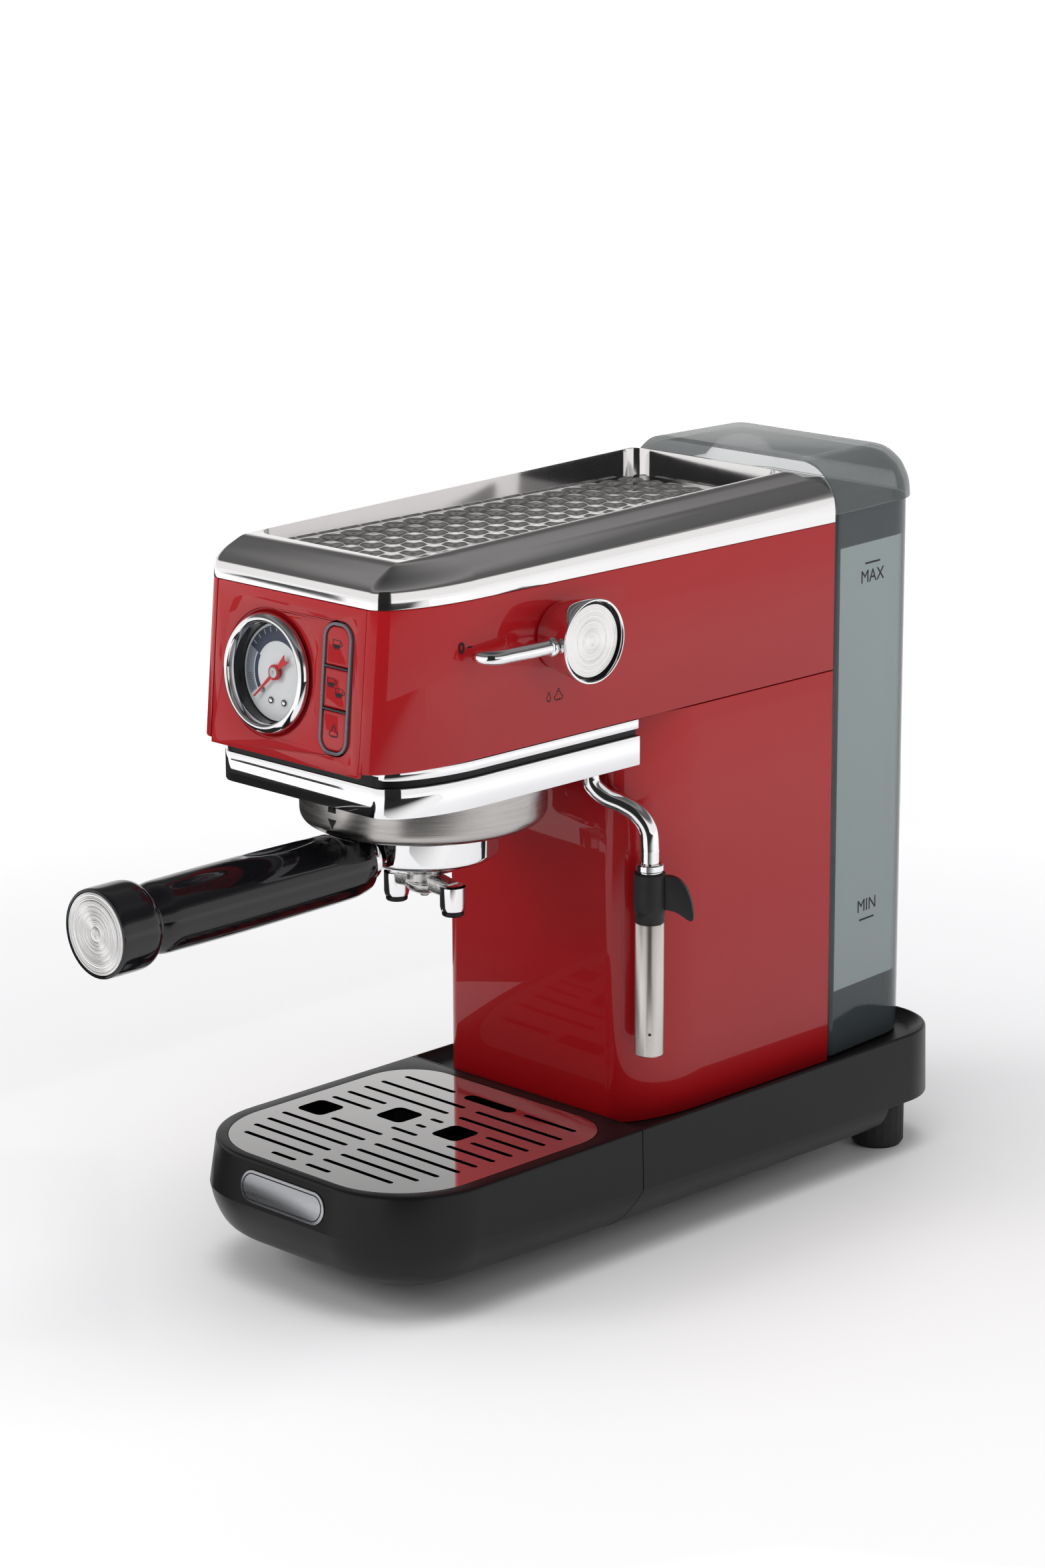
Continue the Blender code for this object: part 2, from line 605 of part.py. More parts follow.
def head_trim():
    outline = trim_outline(TRIM_FRONT, TRIM_FRONT_HALF, BODY_HALF, TRIM_REAR, 0)
    trim = piece("head_trim", flat_curve(outline, TRIM_BOTTOM, TRIM_TOP), "chrome")
    hollow = flat_curve(trim_outline(TRIM_FRONT, TRIM_FRONT_HALF, BODY_HALF - 9 * MM,
                                     COLUMN_FRONT - 3 * MM, 2 * MM),
                        TRIM_BOTTOM + 2.2 * MM, TRIM_TOP + 5 * MM)
    cut(trim, cutter(hollow), cutter(rod(40 * MM, 200 * MM, 240 * MM, 40), (0, GROUP_Y, 0)))
    cut(trim, cutter(rod(4.6 * MM, 200 * MM, 240 * MM, 20), (*WAND_PIVOT, 0)))


def head_rail():
    """The thin rail between the trim and the painted head."""
    low, high = TRIM_TOP + GAP, HEAD_BOTTOM - GAP / 2
    outline = trim_outline(HEAD_FRONT_BOTTOM + 4 * MM, TRIM_FRONT_HALF, BODY_HALF - 0.8 * MM, TRIM_REAR,
                           0)
    rail = piece("head_rail", flat_curve(outline, low, high), "chrome")
    hollow = flat_curve(trim_outline(HEAD_FRONT_BOTTOM + 4 * MM, TRIM_FRONT_HALF, BODY_HALF - 9 * MM,
                                     COLUMN_FRONT - 3 * MM, 3 * MM), low - 5 * MM, high + 5 * MM)
    cut(rail, cutter(hollow))


# ---------------------------------------------------------------- front panel

# In the panel frame x is across, z is up the panel and +y points into the machine.
PANEL_TILT = math.atan2(HEAD_FRONT_TOP - HEAD_FRONT_BOTTOM, HEAD_TOP - HEAD_BOTTOM)
PANEL_Y = HEAD_FRONT_TOP - (HEAD_TOP - PANEL_Z) * math.tan(PANEL_TILT)
BUTTON_PILL = (8.2 * MM, -26.6 * MM, 26.6 * MM, (6.8 * MM, 6.8 * MM), (6.8 * MM, 6.8 * MM))


def front_panel(panel):
    high = (HEAD_TOP - GAP - PANEL_Z) / math.cos(PANEL_TILT)
    low = (231.3 * MM - PANEL_Z) / math.cos(PANEL_TILT)
    plate = piece("front_panel", box((-PANEL_HALF, 0, low), (PANEL_HALF, 2 * MM, high)), "red_paint",
                  panel)
    cut(plate, cutter(rod(GAUGE_R - 1.5 * MM, -20 * MM, 20 * MM, 40), (GAUGE_X, 0, 0), ALONG_Y, panel),
        cutter(slab(inset(*BUTTON_PILL, -GAP), -20 * MM, 20 * MM), (BUTTONS_X, 0, 0), AGAINST_Y, panel))


def gauge(panel):
    """The pressure gauge: chrome ring, cup, dial, needle on its pivot, and a lens."""
    at = (GAUGE_X, 0, 0)
    r = GAUGE_R
    inner = r - 4.2 * MM
    ring = [(21.2 * MM, 3.9 * MM), (22 * MM, 3.6 * MM), (23.2 * MM, 2.6 * MM), (r - 0.2 * MM, 1.2 * MM),
            (r, GAP),
            (inner, GAP), (inner, 3.4 * MM)]
    turned("gauge_bezel", ring, "chrome", panel, at, AGAINST_Y, 32, True)
    cup = [(0, -30 * MM), (inner, -30 * MM), (inner, -GAP), (r - 2 * MM, -GAP), (r - 2 * MM, -32 * MM),
           (0, -32 * MM)]
    turned("gauge_housing", cup, "black_plastic", panel, at, AGAINST_Y, 28)
    rim = inner - GAP
    face = [(2.2 * MM, -DIAL_DEPTH), (rim, -DIAL_DEPTH), (rim, -DIAL_DEPTH - 1.2 * MM),
            (2.2 * MM, -DIAL_DEPTH - 1.2 * MM)]
    turned("gauge_dial", face, "white_print", panel, at, AGAINST_Y, 28, True)
    turned("gauge_lens", [(0, 2.4 * MM), (rim, 2.4 * MM), (rim, 1.2 * MM), (0, 1.2 * MM)],
           "clear_glass", panel, at, AGAINST_Y, 28)
    pivot = empty("gauge_needle_axis", at, panel)
    outline = [(-1 * MM, -9.5 * MM), (1 * MM, -9.5 * MM), (0.4 * MM, 16.5 * MM), (-0.4 * MM, 16.5 * MM)]
    arm = slab(outline, 3 * MM, 3.6 * MM)
    rest = (-math.pi / 2, math.radians(45), 0)
    needle = piece("gauge_needle", arm, "needle_red", pivot, (0, 0, 0), rest)
    boolean(needle, cutter(rod(1.8 * MM, 2.1 * MM, 7.2 * MM, 16), (0, 0, 0), ALONG_Y, pivot), "UNION")


def buttons(panel):
    """Three square-cut buttons in one pill-shaped surround, each on its own slide."""
    bezel = piece("button_frame", slab(plan(*BUTTON_PILL), -4 * MM, 0.6 * MM), "grey_frame", panel,
                  (BUTTONS_X, 0, 0), AGAINST_Y)
    for i, word in enumerate(("one_cup", "two_cup", "steam")):
        z = BUTTON_PITCH * (1 - i)
        end = (5 * MM, 5 * MM)
        front, rear = (end if i == 2 else (MM, MM)), (end if i == 0 else (MM, MM))
        cap = (BUTTON_HALF, -BUTTON_TALL, BUTTON_TALL, front, rear)
        opening = slab(inset(*cap, -GAP, 4), -10 * MM, 10 * MM)
        cut(bezel, cutter(opening, (BUTTONS_X, 0, z), AGAINST_Y, panel))
        pivot = empty("button_slide_" + word, (BUTTONS_X, 0, z), panel)
        piece("button_" + word, slab(plan(*cap, 4), -5 * MM, 0.4 * MM), "red_paint", pivot, (0, 0, 0),
              AGAINST_Y)


# ---------------------------------------------------------------- brew group and portafilter

def brew_group():
    at = (0, GROUP_Y, 0)
    low, r = RING_BOTTOM, RING_R
    top = TRIM_BOTTOM - GAP
    ring = [(r, top), (r, low + 5 * MM), (r - 1.6 * MM, low + 1.4 * MM), (r - 4 * MM, low),
            (r - 7 * MM, low),
            (r - 13 * MM, low + 4 * MM), (r - 13 * MM, top)]
    turned("group_ring", ring, "brushed_steel", place=at, sides=40, ring=True)
    neck_top, shoulder, face = HEAD_BOTTOM + 6 * MM, 222 * MM, 207.4 * MM
    head = [(0, neck_top), (22 * MM, neck_top), (22 * MM, shoulder), (38 * MM, shoulder),
            (38 * MM, face), (0, face)]
    turned("group_head", head, "aluminium", place=at, sides=28)
    seal = [(32 * MM, face - GAP), (32 * MM, face - 3 * MM), (26.6 * MM, face - 3 * MM),
            (26.6 * MM, face - GAP)]
    turned("group_gasket", seal, "rubber", place=at, sides=28, ring=True)
    screen = [(0, face - GAP), (25.6 * MM, face - GAP), (25.6 * MM, face - 4.2 * MM),
              (24.6 * MM, face - 5 * MM),
              (0, face - 5 * MM)]
    turned("shower_screen", screen, "polished_steel", place=at, sides=24)
    boiler = box((-40 * MM, -34 * MM, 0), (40 * MM, 34 * MM, 24 * MM), 3 * MM)
    piece("thermoblock", boiler, "aluminium", place=(0, GROUP_Y, neck_top + GAP))


def portafilter():
    axis = empty("portafilter_twist_axis", (0, GROUP_Y, 0), ROOT)
    top = 204.1 * MM
    foot_z = BOWL_BOTTOM - 7 * MM
    bowl = turned("filter_bowl", [(29.6 * MM, top), (BOWL_R, top), (BOWL_R, BOWL_BOTTOM + 3 * MM),
                                  (BOWL_R - 3 * MM, BOWL_BOTTOM), (18 * MM, BOWL_BOTTOM - 4.5 * MM),
                                  (7 * MM, foot_z), (2.5 * MM, foot_z),
                                  (2.5 * MM, BOWL_BOTTOM - 3 * MM), (26 * MM, BOWL_BOTTOM + 2.5 * MM),
                                  (29.6 * MM, BOWL_BOTTOM + 5 * MM)], "chrome", axis, sides=32, ring=True)
    for angle in (0, 180):
        lug = box((BOWL_R - 1 * MM, -7 * MM, 197 * MM), (BOWL_R + 4 * MM, 7 * MM, 200 * MM))
        boolean(bowl, cutter(lug, (0, 0, 0), (0, 0, math.radians(angle)), axis), "UNION")
    lip = top - 0.2 * MM
    basket = [(0, 183.4 * MM), (26.6 * MM, 183.4 * MM), (28.5 * MM, 184.6 * MM), (28.5 * MM, lip),
              (29.3 * MM, lip),
              (29.3 * MM, 184 * MM), (27 * MM, 182.6 * MM), (0, 182.6 * MM)]
    turned("filter_basket", basket, "polished_steel", axis, sides=28)
    spout(axis)
    handle(axis)


def spout(axis):
    """The twin spout: a cross arm under the bowl with a nozzle at each end."""
    high = BOWL_BOTTOM - 7 * MM - GAP
    bar = box((-SPOUT_X, -4.5 * MM, high - 7 * MM), (SPOUT_X, 4.5 * MM, high - 0.5 * MM), 1 * MM)
    arm = piece("twin_spout", bar, "chrome", axis)
    boolean(arm, cutter(rod(7 * MM, high - 6 * MM, high, 24), parent=axis), "UNION")
    for side in (-1, 1):
        nozzle = rod(5.4 * MM, SPOUT_BOTTOM, high - 1 * MM, 24)
        boolean(arm, cutter(nozzle, (side * SPOUT_X, 0, 0), parent=axis), "UNION")
        bore = rod(3 * MM, SPOUT_BOTTOM - 5 * MM, SPOUT_BOTTOM + 8 * MM, 16)
        cut(arm, cutter(bore, (side * SPOUT_X, 0, 0), parent=axis))


def handle(axis):
    """The handle's pieces, along a line that falls slightly from the bowl to the end cap."""
    line = empty("handle_line", (0, 0, HANDLE_Z), axis, (math.pi / 2 + HANDLE_TILT, 0, 0))
    end = HANDLE_END
    start = BOWL_R + 2.5 * MM
    neck = start + 4 * MM
    tang = neck + 20 * MM
    turned("handle_neck", [(0, tang), (4 * MM, tang), (4 * MM, neck), (8.8 * MM, neck - GAP),
                           (8.8 * MM, start - 2 * MM), (0, start - 2 * MM)], "chrome", line, sides=16)
    grip_end = end - 21 * MM
    grip = turned("handle_grip", [(0, grip_end), (GRIP_R - 1 * MM, grip_end),
                                  (GRIP_R - 2.2 * MM, grip_end - 4 * MM),
                                  (GRIP_R, grip_end - 9 * MM), (GRIP_R + 0.3 * MM, grip_end - 45 * MM),
                                  (GRIP_R - 0.4 * MM, neck + 12 * MM), (GRIP_R - 1.5 * MM, neck + GAP),
                                  (4.3 * MM, neck + GAP), (4.3 * MM, tang + GAP), (0, tang + GAP)],
                  "gloss_black", line, sides=28)
    clearance = rod(RING_R + 1.5 * MM, RING_BOTTOM - 0.7 * MM, RING_BOTTOM + 20 * MM, 40)
    cut(grip, cutter(clearance, parent=axis))
    turned("handle_collar", [(0, end - 2 * MM), (CAP_R - 1.2 * MM, end - 2 * MM), (CAP_R - 1.2 * MM, end),
                             (CAP_R - 0.5 * MM, end), (CAP_R, end - 1 * MM), (CAP_R, end - 17 * MM),
                             (CAP_R - 1.5 * MM, end - 20 * MM), (GRIP_R - 2 * MM, grip_end + GAP),
                             (0, grip_end + GAP)], "gloss_black", line, sides=28)
    disc = CAP_R - 1.5 * MM
    turned("handle_disc", [(0, end - 0.4 * MM), (disc, end - 0.4 * MM), (disc, end - 1.7 * MM),
                           (0, end - 1.7 * MM)],
           "brushed_steel", line, sides=28)


# ---------------------------------------------------------------- steam knob and wand

def steam_knob():
    """A chrome cup on the steam valve's stem, with a brushed face in it and a lever at its side."""
    axis = empty("steam_knob_axis", (0, KNOB_Y, KNOB_Z), ROOT)
    end, r, stem = KNOB_REACH, KNOB_R, 5.5 * MM
    floor, rear = end - 3.5 * MM, BODY_HALF + 1 * MM
    barrel = turned("knob_barrel", [(0, floor), (r - 0.8 * MM, floor), (r - 0.6 * MM, end),
                                    (r - 0.2 * MM, end),
                                    (r, end - 0.5 * MM), (r - 0.7 * MM, end - 6 * MM), (14 * MM, rear),
                                    (stem, rear), (stem, 46 * MM), (0, 46 * MM)],
                    "chrome", axis, turn=ALONG_X, sides=28)
    face = KNOB_FACE_R
    turned("knob_face", [(0, end - 1.8 * MM), (face, end - 1.8 * MM), (face, floor + GAP),
                         (0, floor + GAP)],
           "brushed_steel", axis, turn=ALONG_X, sides=28)
    route = [(LEVER_X, -19.6 * MM, 0), (LEVER_X - 1.5 * MM, -51 * MM, 0),
             (LEVER_X - 11 * MM, -52 * MM, 0)]
    lever = piece("knob_lever", tube(route, 3.1 * MM, 6 * MM), "chrome", axis)
    cut(barrel, cutter(rod(2.2 * MM, 15 * MM, 30 * MM, 16), (LEVER_X, 0, 0), AGAINST_Y, axis))
    boolean(lever, cutter(rod(1.9 * MM, 15.4 * MM, 21 * MM, 16), (LEVER_X, 0, 0), AGAINST_Y, axis),
            "UNION")
    boolean(lever, cutter(rod(3.9 * MM, 19.4 * MM, 22 * MM, 20), (LEVER_X, 0, 0), AGAINST_Y, axis),
            "UNION")
    turned("steam_valve", [(0, 45.5 * MM), (8 * MM, 45.5 * MM), (8 * MM, 26 * MM), (0, 26 * MM)], "brass",
           place=(0, KNOB_Y, KNOB_Z), turn=ALONG_X, sides=16)


def steam_wand():
    axis = empty("wand_swivel_axis", (*WAND_PIVOT, 0), ROOT)
    dx, dy = WAND_DROP[0] - WAND_PIVOT[0], WAND_DROP[1] - WAND_PIVOT[1]
    bore = WAND_R + GAP
    route = [(0, 0, 223 * MM), (0, 0, 203 * MM), (dx * 0.62, dy * 0.62, 196 * MM), (dx, dy, 184 * MM),
             (dx, dy, 118 * MM)]
    pipe = piece("wand_pipe", tube(route, WAND_R, 9 * MM, 3), "chrome", axis)
    cut(pipe, cutter(rod(1.5 * MM, 100 * MM, 126 * MM, 12), (dx, dy, 0), parent=axis))
    nut_top = 171.4 * MM
    nut = [(5.6 * MM, nut_top), (6 * MM, nut_top - 0.8 * MM), (6 * MM, GRIP_TOP + 1 * MM),
           (5.4 * MM, GRIP_TOP + GAP), (bore, GRIP_TOP + GAP), (bore, nut_top)]
    turned("wand_nut", nut, "chrome", axis, (dx, dy, 0), sides=20, ring=True)
    low = SLEEVE_TOP + GAP
    sleeve = [(6.8 * MM, GRIP_TOP), (6.9 * MM, 151 * MM), (6.3 * MM, 149.5 * MM), (6.3 * MM, low),
              (bore, low),
              (bore, GRIP_TOP)]
    grip = turned("wand_grip", sleeve, "black_plastic", axis, (dx, dy, 0), sides=24, ring=True)
    fin = [(5.6 * MM, 166 * MM), (12 * MM, 165.4 * MM), (17 * MM, 159 * MM), (FIN_REACH, 149 * MM),
           (17.5 * MM, 147.2 * MM), (13 * MM, 149.5 * MM), (5.6 * MM, 151.5 * MM)]
    blade = flat_curve(fin, -FIN_HALF, FIN_HALF)
    upright = Matrix.Rotation(WAND_HEADING, 4, "Z") @ Matrix.Rotation(math.pi / 2, 4, "X")
    blade.transform(Matrix.Translation((dx, dy, 0)) @ upright)
    boolean(grip, cutter(blade, parent=axis), "UNION")
    slide = empty("frother_sleeve_slide", (dx, dy, 0), axis)
    inside = WAND_R + 0.5 * MM
    pipe_cover = [(SLEEVE_R, SLEEVE_TOP), (SLEEVE_R, SLEEVE_BOTTOM + 0.6 * MM),
                  (SLEEVE_R - 0.6 * MM, SLEEVE_BOTTOM),
                  (inside, SLEEVE_BOTTOM), (inside, SLEEVE_TOP)]
    turned("frother_sleeve", pipe_cover, "brushed_steel", slide, sides=24, ring=True)


# ---------------------------------------------------------------- tank

def tank_outline(by, steps=6):
    """Plan of the tank: square at the front, narrower and round at the rear."""
    outline = inset(TANK_HALF, TANK_FRONT, TANK_REAR, (3 * MM, 3 * MM), (22 * MM, 22 * MM), by, steps)
    return [(x * (1 - 0.085 * (y - TANK_FRONT) / (TANK_REAR - TANK_FRONT)), y) for x, y in outline]


def tank_group():
    lift = empty("water_tank_lift", (0, (TANK_FRONT + TANK_REAR) / 2, TANK_BOTTOM), ROOT)
    frame = empty("water_tank_pieces", -lift.location, lift)
    rows = ((2 * MM, TANK_BOTTOM), (0, TANK_BOTTOM + 2 * MM), (0, TANK_TOP))
    body = loft([[(x, y, z) for x, y in tank_outline(by)] for by, z in rows])
    tank = piece("water_tank", body, "smoke_clear", frame)
    room = loft([[(x, y, z) for x, y in tank_outline(WALL)] for z in (TANK_BOTTOM + WALL,
                                                                      TANK_TOP + 10 * MM)])
    cut(tank, cutter(room, parent=frame), cutter(rod(8 * MM, 40 * MM, 60 * MM, 24), (0, VALVE_Y, 0),
                                                 parent=frame))
    floor = TANK_BOTTOM + WALL + GAP
    valve = [(0, 84 * MM), (9.5 * MM, 84 * MM), (9.5 * MM, floor), (7.7 * MM, floor),
             (7.7 * MM, TANK_BOTTOM - 2 * MM), (0, TANK_BOTTOM - 2 * MM)]
    turned("tank_valve", valve, "black_plastic", frame, (0, VALVE_Y, 0), sides=20)
    tank_lid(frame)
    socket = [(0, FLOOR_Z - 3 * MM), (9 * MM, FLOOR_Z - 3 * MM), (9 * MM, FLOOR_Z), (15.7 * MM, FLOOR_Z),
              (15.7 * MM, FLOOR_Z - 12 * MM), (0, FLOOR_Z - 12 * MM)]
    turned("tank_socket", socket, "black_plastic", place=(0, VALVE_Y, 0), sides=20)


LID_DOME = ((0, TANK_TOP + GAP), (0.3 * MM, 306 * MM), (2.2 * MM, 312.7 * MM), (5 * MM, 317.5 * MM),
            (10 * MM, 322 * MM), (14.4 * MM, 324 * MM), (19.2 * MM, LID_TOP))


def lid_rows(by, drop):
    """Rows of the lid's dome: it carries on the chrome cover's profile and rounds over at the rear."""
    rows = []
    front, rear = BODY_REAR + GAP, TANK_REAR + 1.5 * MM
    for tuck, z in LID_DOME:
        row = []
        for x, y in inset(BODY_HALF, front, rear, (3 * MM, 3 * MM), (23 * MM, 23 * MM), by + tuck):
            narrow = 1 - 0.07 * max(0.0, y - TANK_FRONT) / (TANK_REAR - TANK_FRONT)
            row.append((x * narrow, max(front + by, y - tuck) if y < 30 * MM else y, z - drop))
        rows.append(row)
    return rows


def tank_lid(frame):
    lid = piece("tank_lid", loft(lid_rows(0, 0)), "smoke_clear", frame)
    cut(lid, cutter(loft(lid_rows(2 * MM, 2 * MM)), parent=frame))


# ---------------------------------------------------------------- inside the column

PUMP = (8 * MM, -50 * MM)


def internals():
    body = [(0, 178 * MM), (10 * MM, 178 * MM), (10 * MM, 166 * MM), (22 * MM, 164 * MM),
            (22 * MM, 112 * MM),
            (9 * MM, 110 * MM), (9 * MM, 92 * MM), (0, 92 * MM)]
    turned("pump", body, "grey_frame", place=(*PUMP, 0), sides=20)
    board = box((-52 * MM, -80 * MM, 80 * MM), (-50.4 * MM, -10 * MM, 190 * MM))
    piece("control_board", board, "circuit_green")
    suction = [(0, VALVE_Y, 40.3 * MM), (0, VALVE_Y, 32 * MM), (0, PUMP[1], 32 * MM), (*PUMP, 60 * MM),
               (*PUMP, 91.5 * MM)]
    piece("suction_hose", tube(suction, 3 * MM, 14 * MM), "silicone")
    pressure = [(*PUMP, 178.5 * MM), (*PUMP, 252 * MM), (PUMP[0], -147.5 * MM, 252 * MM)]
    piece("pressure_hose", tube(pressure, 2.5 * MM, 16 * MM), "silicone")


def rear_fittings():
    """The cord's gland and the power rocker, which sits straight in the skirt's opening."""
    gland = [(2.8 * MM, GLAND_REACH), (6.5 * MM, GLAND_REACH), (7.2 * MM, GAP), (4 * MM, GAP),
             (4 * MM, -6 * MM),
             (2.8 * MM, -6 * MM)]
    turned("cord_gland", gland, "rubber", place=(-34 * MM, BASE_REAR + SKIRT_SWELL, 40 * MM),
           turn=ALONG_Y,
           sides=16, ring=True)
    axis = empty("power_switch_axis", (25 * MM, BASE_REAR - 2 * MM, 40 * MM), ROOT)
    half, tall, dip = 8 * MM, 4 * MM, 0.9 * MM
    corners = [(-half, -tall), (half, -tall), (half, tall), (-half, tall)]
    rear = [(x, y, -3 * MM) for x, y in corners]
    front = [(x, y, 2.2 * MM + dip) for x, y in corners]
    piece("power_rocker", loft([rear, front]), "black_plastic", axis, (0, 0, 0), ALONG_Y)


# ---------------------------------------------------------------- the whole machine

def build():
    base_chassis()
    base_plate()
    feet()
    tray_group()
    column_shell()
    rear_wall()
    for side in (-1, 1):
        side_cover(side)
    top_cover()
    cup_plate()
    head_floor()
    head_trim()
    head_rail()
    panel = empty("panel_plane", (0, PANEL_Y, PANEL_Z), ROOT, (-PANEL_TILT, 0, 0))
    front_panel(panel)
    gauge(panel)
    buttons(panel)
    brew_group()
    portafilter()
    steam_knob()
    steam_wand()
    tank_group()
    internals()
    rear_fittings()


build()
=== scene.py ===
import math

import bmesh
import bpy
import numpy as np
from mathutils import Matrix, Vector


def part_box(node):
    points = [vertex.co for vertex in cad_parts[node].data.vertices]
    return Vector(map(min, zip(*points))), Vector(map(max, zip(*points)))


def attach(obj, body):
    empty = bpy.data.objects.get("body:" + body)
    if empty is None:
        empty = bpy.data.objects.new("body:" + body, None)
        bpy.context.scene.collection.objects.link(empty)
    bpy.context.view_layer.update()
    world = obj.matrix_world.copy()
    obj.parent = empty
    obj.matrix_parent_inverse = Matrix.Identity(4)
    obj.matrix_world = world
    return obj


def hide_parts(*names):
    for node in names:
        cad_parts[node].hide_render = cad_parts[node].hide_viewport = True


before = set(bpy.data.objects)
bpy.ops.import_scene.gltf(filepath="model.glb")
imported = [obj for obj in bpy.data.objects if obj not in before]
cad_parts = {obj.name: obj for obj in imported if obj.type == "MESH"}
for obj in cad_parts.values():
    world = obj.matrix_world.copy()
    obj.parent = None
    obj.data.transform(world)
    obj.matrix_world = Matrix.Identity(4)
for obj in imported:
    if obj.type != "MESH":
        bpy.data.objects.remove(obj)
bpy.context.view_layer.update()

MM = 0.001
column_low, column_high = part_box("column_shell")
MIDDLE_X = (column_low.x + column_high.x) / 2
MIDDLE_Y = column_low.y + 119.5 * MM
# Every shape below is drawn in the machine's own millimetres: x across, y to the rear, z up from the worktop.
TO_FRAME = Matrix.Translation((MIDDLE_X, MIDDLE_Y, 0)) @ Matrix.Scale(MM, 4)
EVERYTHING = bpy.context.scene.collection


# ---------------------------------------------------------------- finishes

class Wire:
    """A socket that takes part in arithmetic; each operator adds one Math node."""

    def __init__(self, nodes, socket):
        self.nodes = nodes
        self.socket = socket

    def maths(self, operation, first, second=0.0):
        return self.nodes.node("ShaderNodeMath", {"operation": operation}, {0: first, 1: second})

    def __add__(self, other):
        return self.maths("ADD", self, other)

    __radd__ = __add__

    def __sub__(self, other):
        return self.maths("SUBTRACT", self, other)

    def __rsub__(self, other):
        return self.maths("SUBTRACT", other, self)

    def __mul__(self, other):
        return self.maths("MULTIPLY", self, other)

    __rmul__ = __mul__

    def __pow__(self, other):
        return self.maths("POWER", self, other)

    def over(self, edge, blur=0.0002):
        """0 below an edge and 1 above it."""
        return self.nodes.node("ShaderNodeMapRange", {"interpolation_type": "SMOOTHSTEP"},
                               {"Value": self, "From Min": edge - blur, "From Max": edge + blur})


class Nodes:
    """A node tree whose nodes all come from one method."""

    def __init__(self, tree):
        self.tree = tree

    def node(self, kind, settings=None, sockets=None, output=0):
        """Any node: its settings first, then its sockets' values or links; output None gives every output."""
        made = self.tree.nodes.new(kind)
        for key, value in (settings or {}).items():
            if key == "stops":
                self.set_stops(made.color_ramp.elements, value)
            else:
                setattr(made, key, value)
        for key, value in (sockets or {}).items():
            if isinstance(value, Wire):
                self.tree.links.new(value.socket, made.inputs[key])
            else:
                made.inputs[key].default_value = value
        if output is None:
            return [Wire(self, out) for out in made.outputs]
        return Wire(self, made.outputs[output])

    def set_stops(self, elements, stops):
        while len(elements) < len(stops):
            elements.new(0.5)
        for element, (where, colour) in zip(elements, stops):
            element.position = where
            element.color = (*colour, 1)

    def mix(self, share, first, second):
        """One colour or the other, by a share that varies."""
        first, second = (c if isinstance(c, Wire) else (*c, 1) for c in (first, second))
        return self.node("ShaderNodeMix", {"data_type": "RGBA"}, {0: share, 6: first, 7: second}, 2)


class Finish(Nodes):
    """A procedural material on a Principled shader."""

    def __init__(self, name, colour, roughness=0.4, metallic=0.0, **numbers):
        self.material = bpy.data.materials.new(name)
        self.material.use_nodes = True
        super().__init__(self.material.node_tree)
        self.shader = self.tree.nodes["Principled BSDF"]
        numbers.update({"Roughness": roughness, "Metallic": metallic})
        for socket, value in numbers.items():
            self.shader.inputs[socket.replace("_", " ")].default_value = value
        self.shader.inputs["Base Color"].default_value = (*colour, 1)
        self.colour = colour

    def place(self):
        return self.node("ShaderNodeTexCoord", output="Object")

    def axes(self):
        return self.node("ShaderNodeSeparateXYZ", None, {0: self.place()}, None)

    def fresnel(self, blend):
        return self.node("ShaderNodeLayerWeight", None, {"Blend": blend}, "Fresnel")

    def noise(self, scale, detail=2.0, stretch=(1, 1, 1)):
        """Noise on the piece's own place, from 0 to 1; scale is cycles a metre."""
        moved = self.node("ShaderNodeMapping", None, {"Vector": self.place(), "Scale": stretch})
        return self.node("ShaderNodeTexNoise", None, {"Vector": moved, "Scale": scale, "Detail": detail})

    def feed(self, socket, wire):
        self.tree.links.new(wire.socket, self.shader.inputs[socket])
        return self

    def shade(self, scale, depth, stretch=(1, 1, 1)):
        """The colour grows lighter and darker by a share of itself."""
        share = self.noise(scale, 3.0, stretch)
        dark = [c * (1 - depth) for c in self.colour]
        light = [min(1.0, c * (1 + depth)) for c in self.colour]
        return self.feed("Base Color", self.mix(share, dark, light))

    def gloss(self, scale, low, high, stretch=(1, 1, 1)):
        share = self.noise(scale, 3.0, stretch)
        return self.feed("Roughness", low + share * (high - low))

    def relief(self, height, strength, depth):
        """A bump, in metres, from a height that varies from 0 to 1."""
        bump = self.node("ShaderNodeBump", None,
                         {"Strength": strength, "Distance": depth, "Height": height})
        return self.feed("Normal", bump)


